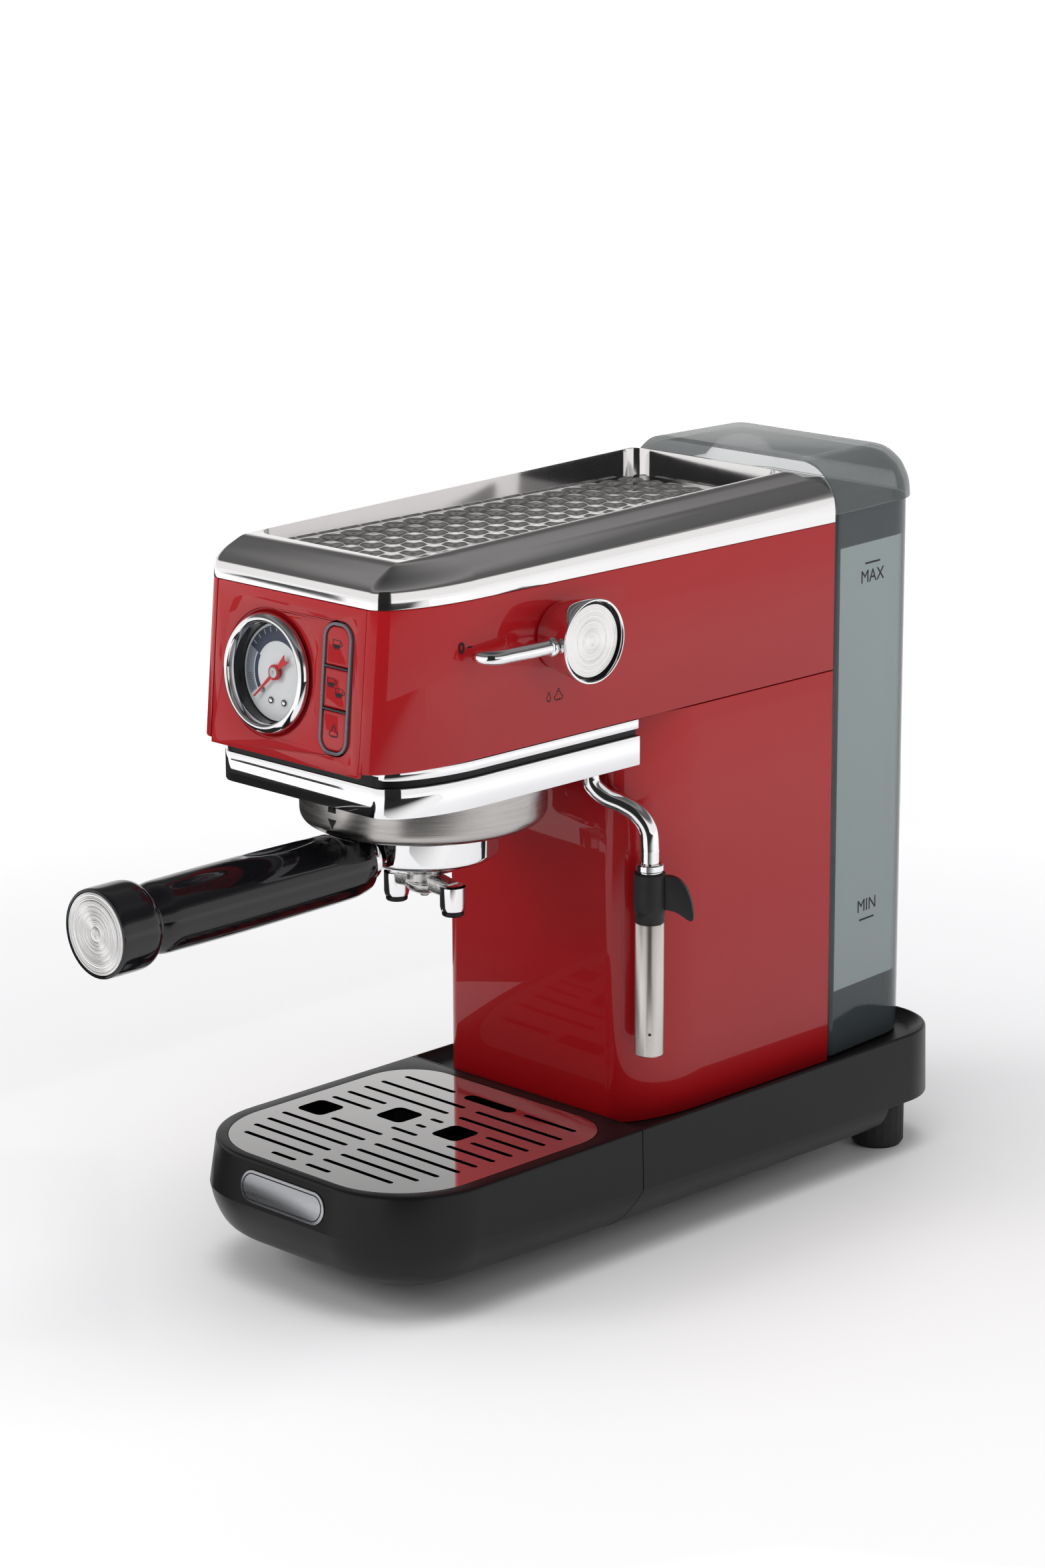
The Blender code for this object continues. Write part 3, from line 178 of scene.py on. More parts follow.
def make_finishes():
    """Each finish by its name, at the scale of the real surface."""
    made = {}

    def keep(name, *args, **numbers):
        made[name] = Finish(name, *args, **numbers)
        return made[name]

    red = keep("red_enamel", (0.32, 0.0045, 0.0075), 0.4, Coat_Weight=0.6, Coat_Roughness=0.02,
        Coat_IOR=1.5, Specular_IOR_Level=0.12)
    red.shade(9, 0.05).gloss(60, 0.34, 0.46).relief(red.noise(160, 0.0), 0.02, 0.0001)
    chrome = keep("chrome_plate", (0.86, 0.86, 0.87), 0.05, 1.0)
    chrome.shade(30, 0.03).gloss(120, 0.03, 0.06).relief(chrome.noise(120, 0.0), 0.02, 0.0001)
    cover = keep("cover_chrome", (0.80, 0.79, 0.79), 0.08, 1.0)
    cover.shade(16, 0.04).gloss(90, 0.06, 0.10).relief(cover.noise(100, 0.0), 0.02, 0.0001)
    mirror = keep("grid_mirror", (0.88, 0.88, 0.88), 0.03, 1.0)
    mirror.shade(25, 0.03).gloss(200, 0.02, 0.05).relief(mirror.noise(90, 0.0), 0.03, 0.0001)
    press = keep("pressed_steel", (0.72, 0.72, 0.71), 0.14, 1.0)
    press.shade(60, 0.06).gloss(150, 0.10, 0.2).relief(press.noise(900, 2.0), 0.05, 0.0001)
    ring = keep("turned_steel", (0.46, 0.44, 0.425), 0.22, 1.0)
    ring.shade(900, 0.16, (0.04, 0.04, 1)).gloss(700, 0.18, 0.34, (0.05, 0.05, 1))
    ring.relief(ring.noise(2500, 2.0, (0.02, 0.02, 1)), 0.12, 0.0001)
    spun = keep("spun_steel", (0.74, 0.73, 0.72), 0.2, 1.0)
    spun.shade(400, 0.05).gloss(500, 0.16, 0.24)
    sleeve = keep("sleeve_steel", (0.60, 0.57, 0.54), 0.3, 1.0)
    sleeve.shade(900, 0.10, (1, 1, 0.03)).gloss(900, 0.24, 0.36, (1, 1, 0.04))
    cast = keep("cast_metal", (0.55, 0.54, 0.53), 0.25, 1.0)
    cast.shade(500, 0.25).gloss(400, 0.15, 0.35).relief(cast.noise(1500, 3.0), 0.5, 0.0002)
    satin = keep("satin_black", (0.0045, 0.0045, 0.005), 0.33, Specular_IOR_Level=0.25)
    satin.shade(30, 0.15).gloss(70, 0.27, 0.38).relief(satin.noise(2600, 2.0), 0.12, 0.0001)
    matt = keep("matt_black", (0.006, 0.006, 0.0065), 0.45, Specular_IOR_Level=0.4)
    matt.shade(60, 0.2).gloss(300, 0.42, 0.58).relief(matt.noise(3000, 2.0), 0.2, 0.0001)
    glossy = keep("piano_black", (0.004, 0.004, 0.005), 0.07)
    glossy.shade(30, 0.2).gloss(90, 0.04, 0.10).relief(glossy.noise(220, 1.0), 0.02, 0.0001)
    rubber = keep("foot_rubber", (0.010, 0.010, 0.010), 0.75)
    rubber.shade(120, 0.25).gloss(400, 0.65, 0.85).relief(rubber.noise(1800, 2.0), 0.3, 0.0002)
    dial = keep("dial_white", (0.74, 0.76, 0.77), 0.5)
    dial.shade(80, 0.02).gloss(300, 0.42, 0.55)
    navy = keep("dial_navy", (0.035, 0.045, 0.085), 0.45)
    navy.shade(200, 0.1).gloss(300, 0.4, 0.5)
    pale = keep("dial_grey", (0.25, 0.29, 0.33), 0.45)
    pale.shade(200, 0.06).gloss(300, 0.4, 0.5)
    signal = keep("needle_red", (0.62, 0.016, 0.02), 0.3)
    signal.shade(150, 0.08).gloss(400, 0.25, 0.38)
    ink = keep("dark_print", (0.014, 0.012, 0.014), 0.5, Specular_IOR_Level=0.2)
    ink.shade(400, 0.2).gloss(500, 0.45, 0.58)
    frame_grey = keep("button_grey", (0.12, 0.115, 0.13), 0.25, 0.4)
    frame_grey.shade(300, 0.12).gloss(300, 0.2, 0.32)
    alloy = keep("alloy", (0.62, 0.62, 0.63), 0.38, 1.0)
    alloy.shade(200, 0.08).gloss(300, 0.3, 0.45).relief(alloy.noise(1200, 2.0), 0.2, 0.0001)
    brass = keep("brass", (0.66, 0.46, 0.17), 0.3, 1.0)
    brass.shade(200, 0.1).gloss(300, 0.25, 0.38)
    hose = keep("silicone_hose", (0.58, 0.56, 0.53), 0.5)
    hose.shade(100, 0.08).gloss(300, 0.45, 0.6)
    board = keep("board_green", (0.02, 0.15, 0.05), 0.4)
    board.shade(300, 0.2).gloss(300, 0.35, 0.5)
    badge = keep("badge_steel", (0.42, 0.43, 0.45), 0.28, 1.0)
    badge.shade(900, 0.08, (0.05, 1, 1)).gloss(600, 0.22, 0.36, (0.05, 1, 1))

    glass = keep("gauge_glass", (0.02, 0.02, 0.02), 0.01, Coat_Weight=1.0)
    rim = glass.fresnel(0.15)
    glass.feed("Alpha", 0.03 + rim * 0.6).gloss(200, 0.01, 0.03)

    tank = keep("tank_smoke", (0.2, 0.24, 0.24), 0.08)
    _, y, z = tank.axes()
    rim = tank.fresnel(0.3)
    # Painted light: in the window the tank is clearer plastic and more see-through, and its pale colour is
    # painted light, the lit inside seen through it.
    tall = z.over(84 * MM) * (1 - z.over(286 * MM))
    wide = y.over(MIDDLE_Y + 14 * MM) * (1 - y.over(MIDDLE_Y + 60 * MM, 3 * MM))
    window = tall * wide * (1 - rim * 0.8)
    # The pale colour below is painted light seen through the tank; the dark one is the smoky plastic's own
    # tint.
    clear = tank.mix(tank.noise(7, 1.0), (0.52, 0.62, 0.62), (0.62, 0.72, 0.72))
    smoke = tank.mix(tank.noise(20, 2.0), (0.055, 0.065, 0.07), (0.08, 0.095, 0.10))
    tank.feed("Base Color", tank.mix(rim ** 1.5, tank.mix(window, smoke, clear), (0.012, 0.017, 0.022)))
    tank.feed("Alpha", 0.62 - window * 0.2 + rim * 0.36).gloss(80, 0.05, 0.12)

    lid = keep("lid_smoke", (0.16, 0.19, 0.19), 0.05)
    rim = lid.fresnel(0.25)
    # Painted reflection: the lid's pale colour stands in for the lighter sheen that light from above puts on
    # it.
    painted_sheen = lid.mix(lid.noise(30, 2.0), (0.46, 0.51, 0.51), (0.54, 0.59, 0.59))
    lid.feed("Base Color", lid.mix(rim ** 0.7, painted_sheen, (0.008, 0.01, 0.01)))
    lid.feed("Alpha", 0.13 + rim * 0.72).gloss(80, 0.04, 0.10)
    return made


FINISHES = make_finishes()


# ---------------------------------------------------------------- shapes

def mesh_of(points, faces):
    mesh = bpy.data.meshes.new("shape")
    mesh.from_pydata([tuple(p) for p in points], [], faces)
    return mesh


def shift(x, y, z):
    return Matrix.Translation((x, y, z))


def turn(degrees, axis):
    return Matrix.Rotation(math.radians(degrees), 4, axis)


def moved(mesh, matrix):
    mesh.transform(matrix)
    return mesh


def tidy(mesh, within=0.002):
    """Doubles merged and every face turned outwards."""
    shape = bmesh.new()
    shape.from_mesh(mesh)
    bmesh.ops.remove_doubles(shape, verts=shape.verts, dist=within)
    bmesh.ops.recalc_face_normals(shape, faces=shape.faces)
    shape.to_mesh(mesh)
    shape.free()
    return mesh


def loft(rows, caps=True):
    """A surface through rows of equal point count, each row a closed ring."""
    count = len(rows[0])
    points = [p for row in rows for p in row]
    faces = [(r * count + i, r * count + (i + 1) % count,
              (r + 1) * count + (i + 1) % count, (r + 1) * count + i)
             for r in range(len(rows) - 1) for i in range(count)]
    if caps:
        faces += [tuple(reversed(range(count))), tuple(range(len(points) - count, len(points)))]
    return tidy(mesh_of(points, faces))


def lathe(profile, steps=96, ring=False):
    """Turned round Z from (radius, height) points; a ring's profile closes on itself."""
    rows = [[(r * math.cos(2 * math.pi * i / steps), r * math.sin(2 * math.pi * i / steps), z)
             for i in range(steps)] for r, z in profile]
    if ring:
        rows.append(rows[0])
    return loft(rows, caps=False)


def rod(radius, low, high, steps=48):
    return lathe([(0, low), (radius, low), (radius, high), (0, high)], steps)


def curved(points, between=5):
    """More points on a smooth line that passes through these."""
    points = [Vector(p) for p in points]
    line = []
    for i in range(len(points) - 1):
        a, b, c, d = points[max(i - 1, 0)], points[i], points[i + 1], points[min(i + 2, len(points) - 1)]
        for k in range(between):
            t = k / between
            line.append(0.5 * (2 * b + (c - a) * t + (2 * a - 5 * b + 4 * c - d) * t ** 2
                               + (3 * b - a - 3 * c + d) * t ** 3))
    return line + [points[-1]]


def smooth(points, between=4):
    """A smooth profile through (radius, height) points."""
    return [(p.x, p.y) for p in curved([(r, z, 0) for r, z in points], between)]


def plan(half, front, rear, front_corner, rear_corner, steps=16):
    """A rounded rectangle seen from above; each corner is a quarter ellipse (across, along)."""
    points = []
    for side, end, corner, start in ((-1, front, front_corner, 180), (1, front, front_corner, 270),
                                     (1, rear, rear_corner, 0), (-1, rear, rear_corner, 90)):
        centre_x = side * (half - corner[0])
        centre_y = end + corner[1] if end == front else end - corner[1]
        for i in range(steps + 1):
            angle = math.radians(start + 90 * i / steps)
            points.append((centre_x + corner[0] * math.cos(angle), centre_y + corner[1] * math.sin(angle)))
    return points


def inset(half, front, rear, front_corner, rear_corner, by, steps=16):
    smaller = [(max(a - by, 0.5), max(b - by, 0.5)) for a, b in (front_corner, rear_corner)]
    return plan(half - by, front + by, rear - by, *smaller, steps)


def level(outline, z):
    return [(x, y, z) for x, y in outline]


def pill(x0, x1, half, y=0.0, steps=8):
    """A slot with round ends, from one end to the other."""
    turn = [math.radians(90 + 180 * i / steps) for i in range(steps + 1)]
    left = [(x0 + half + half * math.cos(a), y + half * math.sin(a)) for a in turn]
    right = [(x1 - half - half * math.cos(a), y - half * math.sin(a)) for a in turn]
    return left + right


def circle(radius, x=0.0, y=0.0, steps=48):
    return [(x + radius * math.cos(2 * math.pi * i / steps), y + radius * math.sin(2 * math.pi * i / steps))
            for i in range(steps)]


def sector(inner, outer, start, end, steps=40):
    angles = [math.radians(start + (end - start) * i / steps) for i in range(steps + 1)]
    return ([(outer * math.cos(a), outer * math.sin(a)) for a in angles]
            + [(inner * math.cos(a), inner * math.sin(a)) for a in reversed(angles)])


def worked(mesh, *steps):
    """A mesh after some modifiers, each (kind, settings), as a plain mesh."""
    holder = bpy.data.objects.new("work", mesh)
    EVERYTHING.objects.link(holder)
    for kind, settings in steps:
        step = holder.modifiers.new(kind.lower(), kind)
        for key, value in settings.items():
            setattr(step, key, value)
    made = bpy.data.meshes.new_from_object(holder.evaluated_get(bpy.context.evaluated_depsgraph_get()))
    bpy.data.objects.remove(holder)
    return made


def soften(mesh, width, segments=3, angle=40):
    return worked(mesh, ("BEVEL", {"width": width, "segments": segments, "limit_method": "ANGLE",
                                   "angle_limit": math.radians(angle), "miter_outer": "MITER_ARC"}))


def flat(outlines, low, high, edge=0.0):
    """Flat outlines, holes among them, given a thickness and softened rims."""
    curve = bpy.data.curves.new("flat", "CURVE")
    curve.dimensions = "2D"
    curve.fill_mode = "BOTH"
    curve.extrude = (high - low) / 2
    for outline in outlines:
        spline = curve.splines.new("POLY")
        spline.points.add(len(outline) - 1)
        for point, (x, y) in zip(spline.points, outline):
            point.co = (x, y, 0, 1)
        spline.use_cyclic_u = True
    mesh = tidy(moved(worked(curve), shift(0, 0, (low + high) / 2)))
    return soften(mesh, edge, 2) if edge else mesh


def carve(mesh, *others, operation="DIFFERENCE"):
    """Other shapes taken out of a mesh, or added to it."""
    tools = [bpy.data.objects.new("tool", other) for other in others]
    for tool in tools:
        EVERYTHING.objects.link(tool)
    made = worked(mesh, *[("BOOLEAN", {"operation": operation, "object": tool}) for tool in tools])
    for tool in tools:
        bpy.data.objects.remove(tool)
    return made


def bar(path, radii, sides=24):
    """A round bar through points, with a radius at each point, closed at both ends."""
    path = [Vector(p) for p in path]
    radii = radii if isinstance(radii, (list, tuple)) else [radii] * len(path)
    ahead = (path[1] - path[0]).normalized()
    across = ahead.orthogonal().normalized()
    rows = []
    for i, here in enumerate(path):
        along = (path[min(i + 1, len(path) - 1)] - path[max(i - 1, 0)]).normalized()
        across = (across - along * across.dot(along)).normalized()
        other = along.cross(across)
        rows.append([here + radii[i] * (across * math.cos(2 * math.pi * k / sides)
                                        + other * math.sin(2 * math.pi * k / sides)) for k in range(sides)])
    return loft(rows)


def joined(*meshes):
    shape = bmesh.new()
    for mesh in meshes:
        shape.from_mesh(mesh)
    mesh = bpy.data.meshes.new("joined")
    shape.to_mesh(mesh)
    shape.free()
    return mesh


def block(low, high, edge=0.0, segments=3):
    (x0, y0, z0), (x1, y1, z1) = low, high
    mesh = loft([[(x0, y0, z), (x1, y0, z), (x1, y1, z), (x0, y1, z)] for z in (z0, z1)])
    return soften(mesh, edge, segments) if edge else mesh


def lettering(text, size, bold=0.0):
    """Flat generic marks, centred, in the XY plane."""
    words = bpy.data.curves.new("marks", "FONT")
    words.body = text
    words.size = size
    words.offset = bold
    words.extrude = 0.03
    words.align_x = words.align_y = "CENTER"
    return tidy(worked(words), 0.0005)


def put(name, mesh, finish, stands_for=(), at=Matrix.Identity(4), body="machine", sharp=35):
    """A finished piece in the frame, riding on its body, in place of the CAD nodes it stands for."""
    mesh.transform(TO_FRAME @ at)
    mesh.materials.clear()
    mesh.materials.append(FINISHES[finish].material)
    mesh.shade_smooth()
    mesh.set_sharp_from_angle(angle=math.radians(sharp))
    thing = bpy.data.objects.new(name, mesh)
    EVERYTHING.objects.link(thing)
    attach(thing, body)
    if stands_for:
        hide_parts(*stands_for)


# ---------------------------------------------------------------- repeats

def repeat_tree(name, kind):
    """A node tree that puts one shape on many points and makes the result real."""
    tree = bpy.data.node_groups.new(name, "GeometryNodeTree")
    tree.interface.new_socket("Geometry", in_out="INPUT", socket_type="NodeSocketGeometry")
    tree.interface.new_socket("Geometry", in_out="OUTPUT", socket_type="NodeSocketGeometry")
    for label, socket in (("Shape", "NodeSocketObject"), ("Finish", "NodeSocketMaterial"),
                          ("Columns", "NodeSocketInt"), ("Rows", "NodeSocketInt"),
                          ("Pitch across", "NodeSocketFloat"), ("Pitch along", "NodeSocketFloat")):
        tree.interface.new_socket(label, in_out="INPUT", socket_type=socket)
    nodes = Nodes(tree)
    given = {wire.socket.name: wire for wire in nodes.node("NodeGroupInput", output=None)}
    shape = nodes.node("GeometryNodeObjectInfo", None, {"Object": given["Shape"]}, "Geometry")
    if kind == "grid":
        columns, rows = given["Columns"], given["Rows"]
        points = nodes.node("GeometryNodeMeshGrid", None, {
            "Size X": (columns - 1) * given["Pitch across"], "Size Y": (rows - 1) * given["Pitch along"],
            "Vertices X": columns, "Vertices Y": rows})
        sockets = {"Points": points, "Instance": shape}
    else:
        angles = nodes.node("GeometryNodeInputNamedAttribute", {"data_type": "FLOAT_VECTOR"},
            {"Name": "turn"})
        rotation = nodes.node("FunctionNodeEulerToRotation", None, {0: angles})
        sockets = {"Points": given["Geometry"], "Instance": shape, "Rotation": rotation}
    placed = nodes.node("GeometryNodeInstanceOnPoints", None, sockets)
    real = nodes.node("GeometryNodeRealizeInstances", None, {0: placed})
    painted = nodes.node("GeometryNodeSetMaterial", None, {"Geometry": real, "Material": given["Finish"]})
    nodes.node("NodeGroupOutput", None, {0: painted}, None)
    return tree


GRID_TREE = repeat_tree("repeat_on_grid", "grid")
SCATTER_TREE = repeat_tree("repeat_on_points", "points")


def repeated(shape, finish, tree, points=((0, 0, 0),), turns=None, **sizes):
    """A shape repeated by one of the trees above, as a plain mesh."""
    source = bpy.data.objects.new("source", shape)
    seeds = mesh_of(points, [])
    if turns:
        given = seeds.attributes.new("turn", "FLOAT_VECTOR", "POINT")
        for place, angles in zip(given.data, turns):
            place.vector = angles
    holder = bpy.data.objects.new("holder", seeds)
    EVERYTHING.objects.link(source)
    EVERYTHING.objects.link(holder)
    step = holder.modifiers.new("repeat", "NODES")
    step.node_group = tree
    values = {"Shape": source, "Finish": FINISHES[finish].material, **sizes}
    for item in tree.interface.items_tree:
        if item.in_out == "INPUT" and item.name in values:
            step[item.identifier] = values[item.name]
    made = bpy.data.meshes.new_from_object(holder.evaluated_get(bpy.context.evaluated_depsgraph_get()))
    holder.modifiers.remove(step)
    bpy.data.objects.remove(holder)
    bpy.data.objects.remove(source)
    return made


# ---------------------------------------------------------------- painted body

BODY_HALF, BODY_REAR = 61, 8.7
HEAD_FRONT_TOP, HEAD_FRONT_BOTTOM = -254, -260
HEAD_LOW, HEAD_HIGH = 233.15, 298.85
HEAD_CORNER = (16.5, 46)
GROUP_Y = -182
GROUP = shift(0, GROUP_Y, 0)
KNOB_Y, KNOB_Z = -163, 277
WAND_PIVOT, WAND_DROP = (45, -128), (66, -114)
KNOB = shift(0, KNOB_Y, KNOB_Z) @ turn(90, "Y")


def painted_wall(path_at, profile):
    """A bent sheet: for each point of the path, a closed section of (inward, height) points."""
    lines = [path_at(z) for _, z in profile]
    sections = []
    for i in range(len(lines[0])):
        section = []
        for (by, z), line in zip(profile, lines):
            here = Vector(line[i])
            along = Vector(line[min(i + 1, len(line) - 1)]) - Vector(line[max(i - 1, 0)])
            inward = Vector((-along.y, along.x)).normalized()
            section.append((*(here + inward * by), z))
        sections.append(section)
    return loft(sections)


def column():
    corners = plan(BODY_HALF, -119.5, 69, (16, 43), (1, 1), 40)[:2 * 41]      # only the two at the front
    left, right = ([(side * BODY_HALF, y) for y in (-30, BODY_REAR)] for side in (-1, 1))
    path = left[::-1] + corners + right
    profile = [(1.5, 53), (0.2, 53), (0, 53.3), (0, 232.2), (0.2, 232.7), (0.6, 232.85), (1.5, 232.85)]
    put("column_skin", painted_wall(lambda z: path, profile), "red_enamel", ["column_shell"])


def side_skin(side):
    def path(z):
        share = (z - HEAD_LOW) / (HEAD_HIGH - HEAD_LOW)
        front = HEAD_FRONT_BOTTOM + (HEAD_FRONT_TOP - HEAD_FRONT_BOTTOM) * share
        across, along = HEAD_CORNER
        angles = [math.radians(90 * i / 40) for i in range(41)]
        line = [(side * (BODY_HALF - across + across * math.sin(a)), front + along - along * math.cos(a))
                for a in angles] + [(side * BODY_HALF, -100), (side * BODY_HALF, BODY_REAR)]
        return line if side > 0 else line[::-1]

    profile = [(1.5, HEAD_LOW), (0.7, HEAD_LOW), (0.2, 233.35), (0, 233.9), (0, 298.3), (0.25, 298.75),
               (0.6, HEAD_HIGH), (1.5, HEAD_HIGH)]
    word = "right" if side > 0 else "left"
    mesh = painted_wall(path, profile)
    if side > 0:
        mesh = carve(mesh, moved(rod(7, 50, 70), KNOB))
    put("side_skin_" + word, mesh, "red_enamel", ["side_cover_" + word])


# ---------------------------------------------------------------- chrome top, cup plate, trim

# How far the cover's side comes in, and the share of its rise reached there.
COVER_DOME = ((0, 0), (0.05, 0.12), (0.2, 0.24), (0.7, 0.36), (1.4, 0.46), (4, 0.60), (8, 0.745),
    (13.5, 0.88), (18, 0.97), (22, 1.0))
RECESS = (44, -234, -6, (9, 9), (9, 9))


def chrome_top():
    rows = []
    for tuck, share in smooth(COVER_DOME, 3):
        row = []
        for x, y in inset(BODY_HALF, HEAD_FRONT_TOP, BODY_REAR, HEAD_CORNER, (1, 1), tuck * 0.74, 24):
            rise = 15.7 + 7 * (y - HEAD_FRONT_TOP) / (9 - HEAD_FRONT_TOP)
            row.append((x, y if y < 0 else BODY_REAR, 299 + share * rise))
        rows.append(row)
    body = loft(rows)
    pocket = loft([level(inset(*RECESS, 0, 12), z) for z in (308.7, 360)])
    body = carve(body, pocket)
    put("chrome_cover", soften(body, 0.9, 3, 50), "cover_chrome", ["top_cover"], sharp=30)

    sheet = flat([inset(*RECESS, 0.4, 12)], 308.75, 309.05, 0.1)
    square = ((5.0, 0), (4.6, 0.12), (3.9, 0.55), (3.3, 0.95), (2.6, 1.12), (1.2, 1.18))
    corners = [(r * 0.45, r * 0.45) for r, _ in square]
    boss = loft([level(plan(r, -r, r, corner, corner, 4), z) for (r, z), corner in zip(square, corners)])
    pitch = {"Pitch across": 12.0, "Pitch along": 12.0}
    bosses = repeated(boss, "pressed_steel", GRID_TREE, Columns=7, Rows=17, **pitch)
    bosses = moved(bosses, shift(0, -114, 309.0))
    put("cup_plate_sheet", sheet, "pressed_steel", ["cup_warmer_plate"])
    put("cup_plate_bosses", bosses, "pressed_steel", sharp=50)


TRIM_REAR = -115


def trim_path(front, front_half, half, rear, steps=24):
    side = [(front_half + (half - front_half) * math.sin(math.radians(90 * i / steps)),
             front + 44 * (1 - math.cos(math.radians(90 * i / steps)))) for i in range(steps + 1)]
    right = side + [(half, -150), (half, rear)]
    return [(-x, y) for x, y in reversed(right)] + right


def trims():
    for name, node, low, high, front, half in (("lower_trim", "head_trim", 213.1, 225.9, -251.4, BODY_HALF),
                                               ("rail_trim", "head_rail", 228.6, 232.85, -250.6, 60.2)):
        soft, near = 0.7, 0.21
        profile = [(9, low), (soft, low), (near, low + near), (0, low + soft), (0, high - soft),
            (near, high - near), (soft, high), (9, high)]
        path = trim_path(front, 42, half, TRIM_REAR)
        skin = painted_wall(lambda z: path, profile)
        put(name, skin, "chrome_plate", [node], sharp=25)
    neck = painted_wall(lambda z: trim_path(-250.9, 41.6, 58.6, TRIM_REAR),
        [(7, 226), (0, 226), (0, 230.5), (7, 230.5)])
    put("trim_neck", neck, "satin_black")
    under = flat([trim_path(-250, 41.4, 60, -116), circle(40, 0, GROUP_Y, 64),
        circle(4.6, *WAND_PIVOT, 24)], 213.4, 215.4)
    put("trim_underside", under, "satin_black")


# ---------------------------------------------------------------- front panel

PANEL_TILT = math.atan2(HEAD_FRONT_TOP - HEAD_FRONT_BOTTOM, 66)
PANEL_Z = 265
PANEL_Y = HEAD_FRONT_TOP - (299 - PANEL_Z) * math.tan(PANEL_TILT)
ON_PANEL = (shift(0, PANEL_Y, PANEL_Z) @ turn(-math.degrees(PANEL_TILT), "X")
            @ turn(90, "X"))     # x across, y up the panel, z out of it
GAUGE_X, BUTTONS_X = -11.4, 29
GAUGE = ON_PANEL @ shift(GAUGE_X, 0, 0)


def panel():
    high, low = ((z - PANEL_Z) / math.cos(PANEL_TILT) for z in (298.7, 231.3))
    rim = [(-44.2, low), (44.2, low), (44.2, high), (-44.2, high)]
    window = circle(26.4, GAUGE_X, 0, 96)
    slot = [(x + BUTTONS_X, y) for x, y in plan(8.8, -27.2, 27.2, (7.6, 7.6), (7.6, 7.6), 12)]
    plate = flat([rim, window, slot], -2, 0, 0.45)
    dish = smooth([(27.2, -0.6), (26.3, -0.55), (25.5, -0.95), (24.9, -1.3), (23.4, -1.5)])
    dish = moved(lathe(dish + [(23.4, -1.9), (27.2, -1.9)], 96, True), shift(GAUGE_X, 0, 0))
    put("front_plate", joined(plate, dish), "red_enamel", ["front_panel"], ON_PANEL, sharp=30)


def gauge():
    chrome = smooth([(24.7, 0.3), (24.65, 1.5), (24.0, 2.8), (22.9, 3.7), (21.9, 3.9), (21.1, 3.4),
        (20.7, 2.4)])
    put("gauge_ring", lathe(chrome + [(20.55, 0.3)], 128, True), "chrome_plate", ["gauge_bezel"], GAUGE)
    cup = [(20.5, -0.3), (20.5, -6.4), (3, -6.5), (3, -8), (22.5, -8), (22.5, -0.3)]
    put("gauge_cup", lathe(cup, 96, True), "piano_black", ["gauge_housing"], GAUGE)
    face = [(2.2, -5.2), (20.0, -5.2), (20.2, -5.4), (20.2, -6.4), (2.2, -6.4)]
    put("dial_face", lathe(face, 96, True), "dial_white", ["gauge_dial"], GAUGE)
    low, high = -5.19, -5.13
    prints = (("dial_band", "dial_navy", [sector(12.6, 19, 27, 153)]),
              ("dial_band_low", "dial_grey", [sector(14.5, 19, 153.6, 216)]),
              ("dial_band_inner", "dial_navy", [sector(11.9, 13.9, 153.6, 216)]),
              ("dial_red_mark", "needle_red", [sector(14.6, 19, -31, 16)]))
    for name, finish, outlines in prints:
        put(name, flat(outlines, low, high), finish, at=GAUGE)
    tick = block((-0.12, -1.2, 0), (0.12, 1.2, 0.05))
    mark = block((-0.14, -1.0, 0), (0.14, 1.0, 0.05))
    scales = (("dial_ticks", "dial_navy", tick, 16.6, 190, 3.2, 8),
        ("dial_marks", "dial_white", mark, 17.6, 36, 12, 10))
    for name, finish, shape, radius, start, step, count in scales:
        angles = [math.radians(start + step * k) for k in range(count)]
        places = [(radius * math.cos(a), radius * math.sin(a), high) for a in angles]
        marks = repeated(shape, finish, SCATTER_TREE, places, [(0, 0, a - math.pi / 2) for a in angles])
        put(name, marks, finish, at=GAUGE)
    head = lathe([(0, 1.25), (0.6, 1.2), (1.2, 0.95), (1.55, 0.5), (1.65, 0), (0, 0)], 24)
    screws = repeated(head, "chrome_plate", SCATTER_TREE, [(-2.8, -11.9, -5.2), (5, -11.9, -5.2)])
    put("dial_screws", screws, "chrome_plate", at=GAUGE)
    stop = joined(lathe([(0, 1.9), (0.5, 1.9), (0.7, 1.7), (0.7, 0), (0, 0)], 20),
                  lathe([(0, 0.6), (1.0, 0.6), (1.2, 0.3), (1.2, 0), (0, 0)], 20))
    put("dial_stop", stop, "alloy", at=GAUGE @ shift(-8.1, -8.4, -5.2))

    heading = GAUGE @ turn(135, "Z")      # +Y of this frame is the needle's point
    arm = [(-0.85, 0), (-0.28, 16.2), (0, 16.5), (0.28, 16.2), (0.85, 0), (0.9, -3), (1.9, -9.2), (0, -7.9),
           (-1.9, -9.2), (-0.9, -3)]
    blade = flat([arm], -3.55, -3.1, 0.08)
    hub = lathe([(0, -2.6), (2.9, -2.6), (3.2, -2.9), (3.2, -4.0), (0, -4.0)], 48)
    put("needle_blade", joined(blade, hub), "needle_red", ["gauge_needle"], heading, body="needle")
    boss = lathe([(0, -2.15), (0.5, -2.15), (0.7, -2.3), (1.9, -2.2), (2.3, -2.35), (2.5, -2.65),
        (0, -2.65)], 40)
    put("needle_boss", boss, "alloy", at=heading, body="needle")
    lens = lathe([(0, 2.45), (8, 2.4), (15, 2.2), (20.2, 1.85), (20.2, 1.2), (0, 1.2)], 96)
    put("gauge_glass_disc", lens, "gauge_glass", ["gauge_lens"], GAUGE)


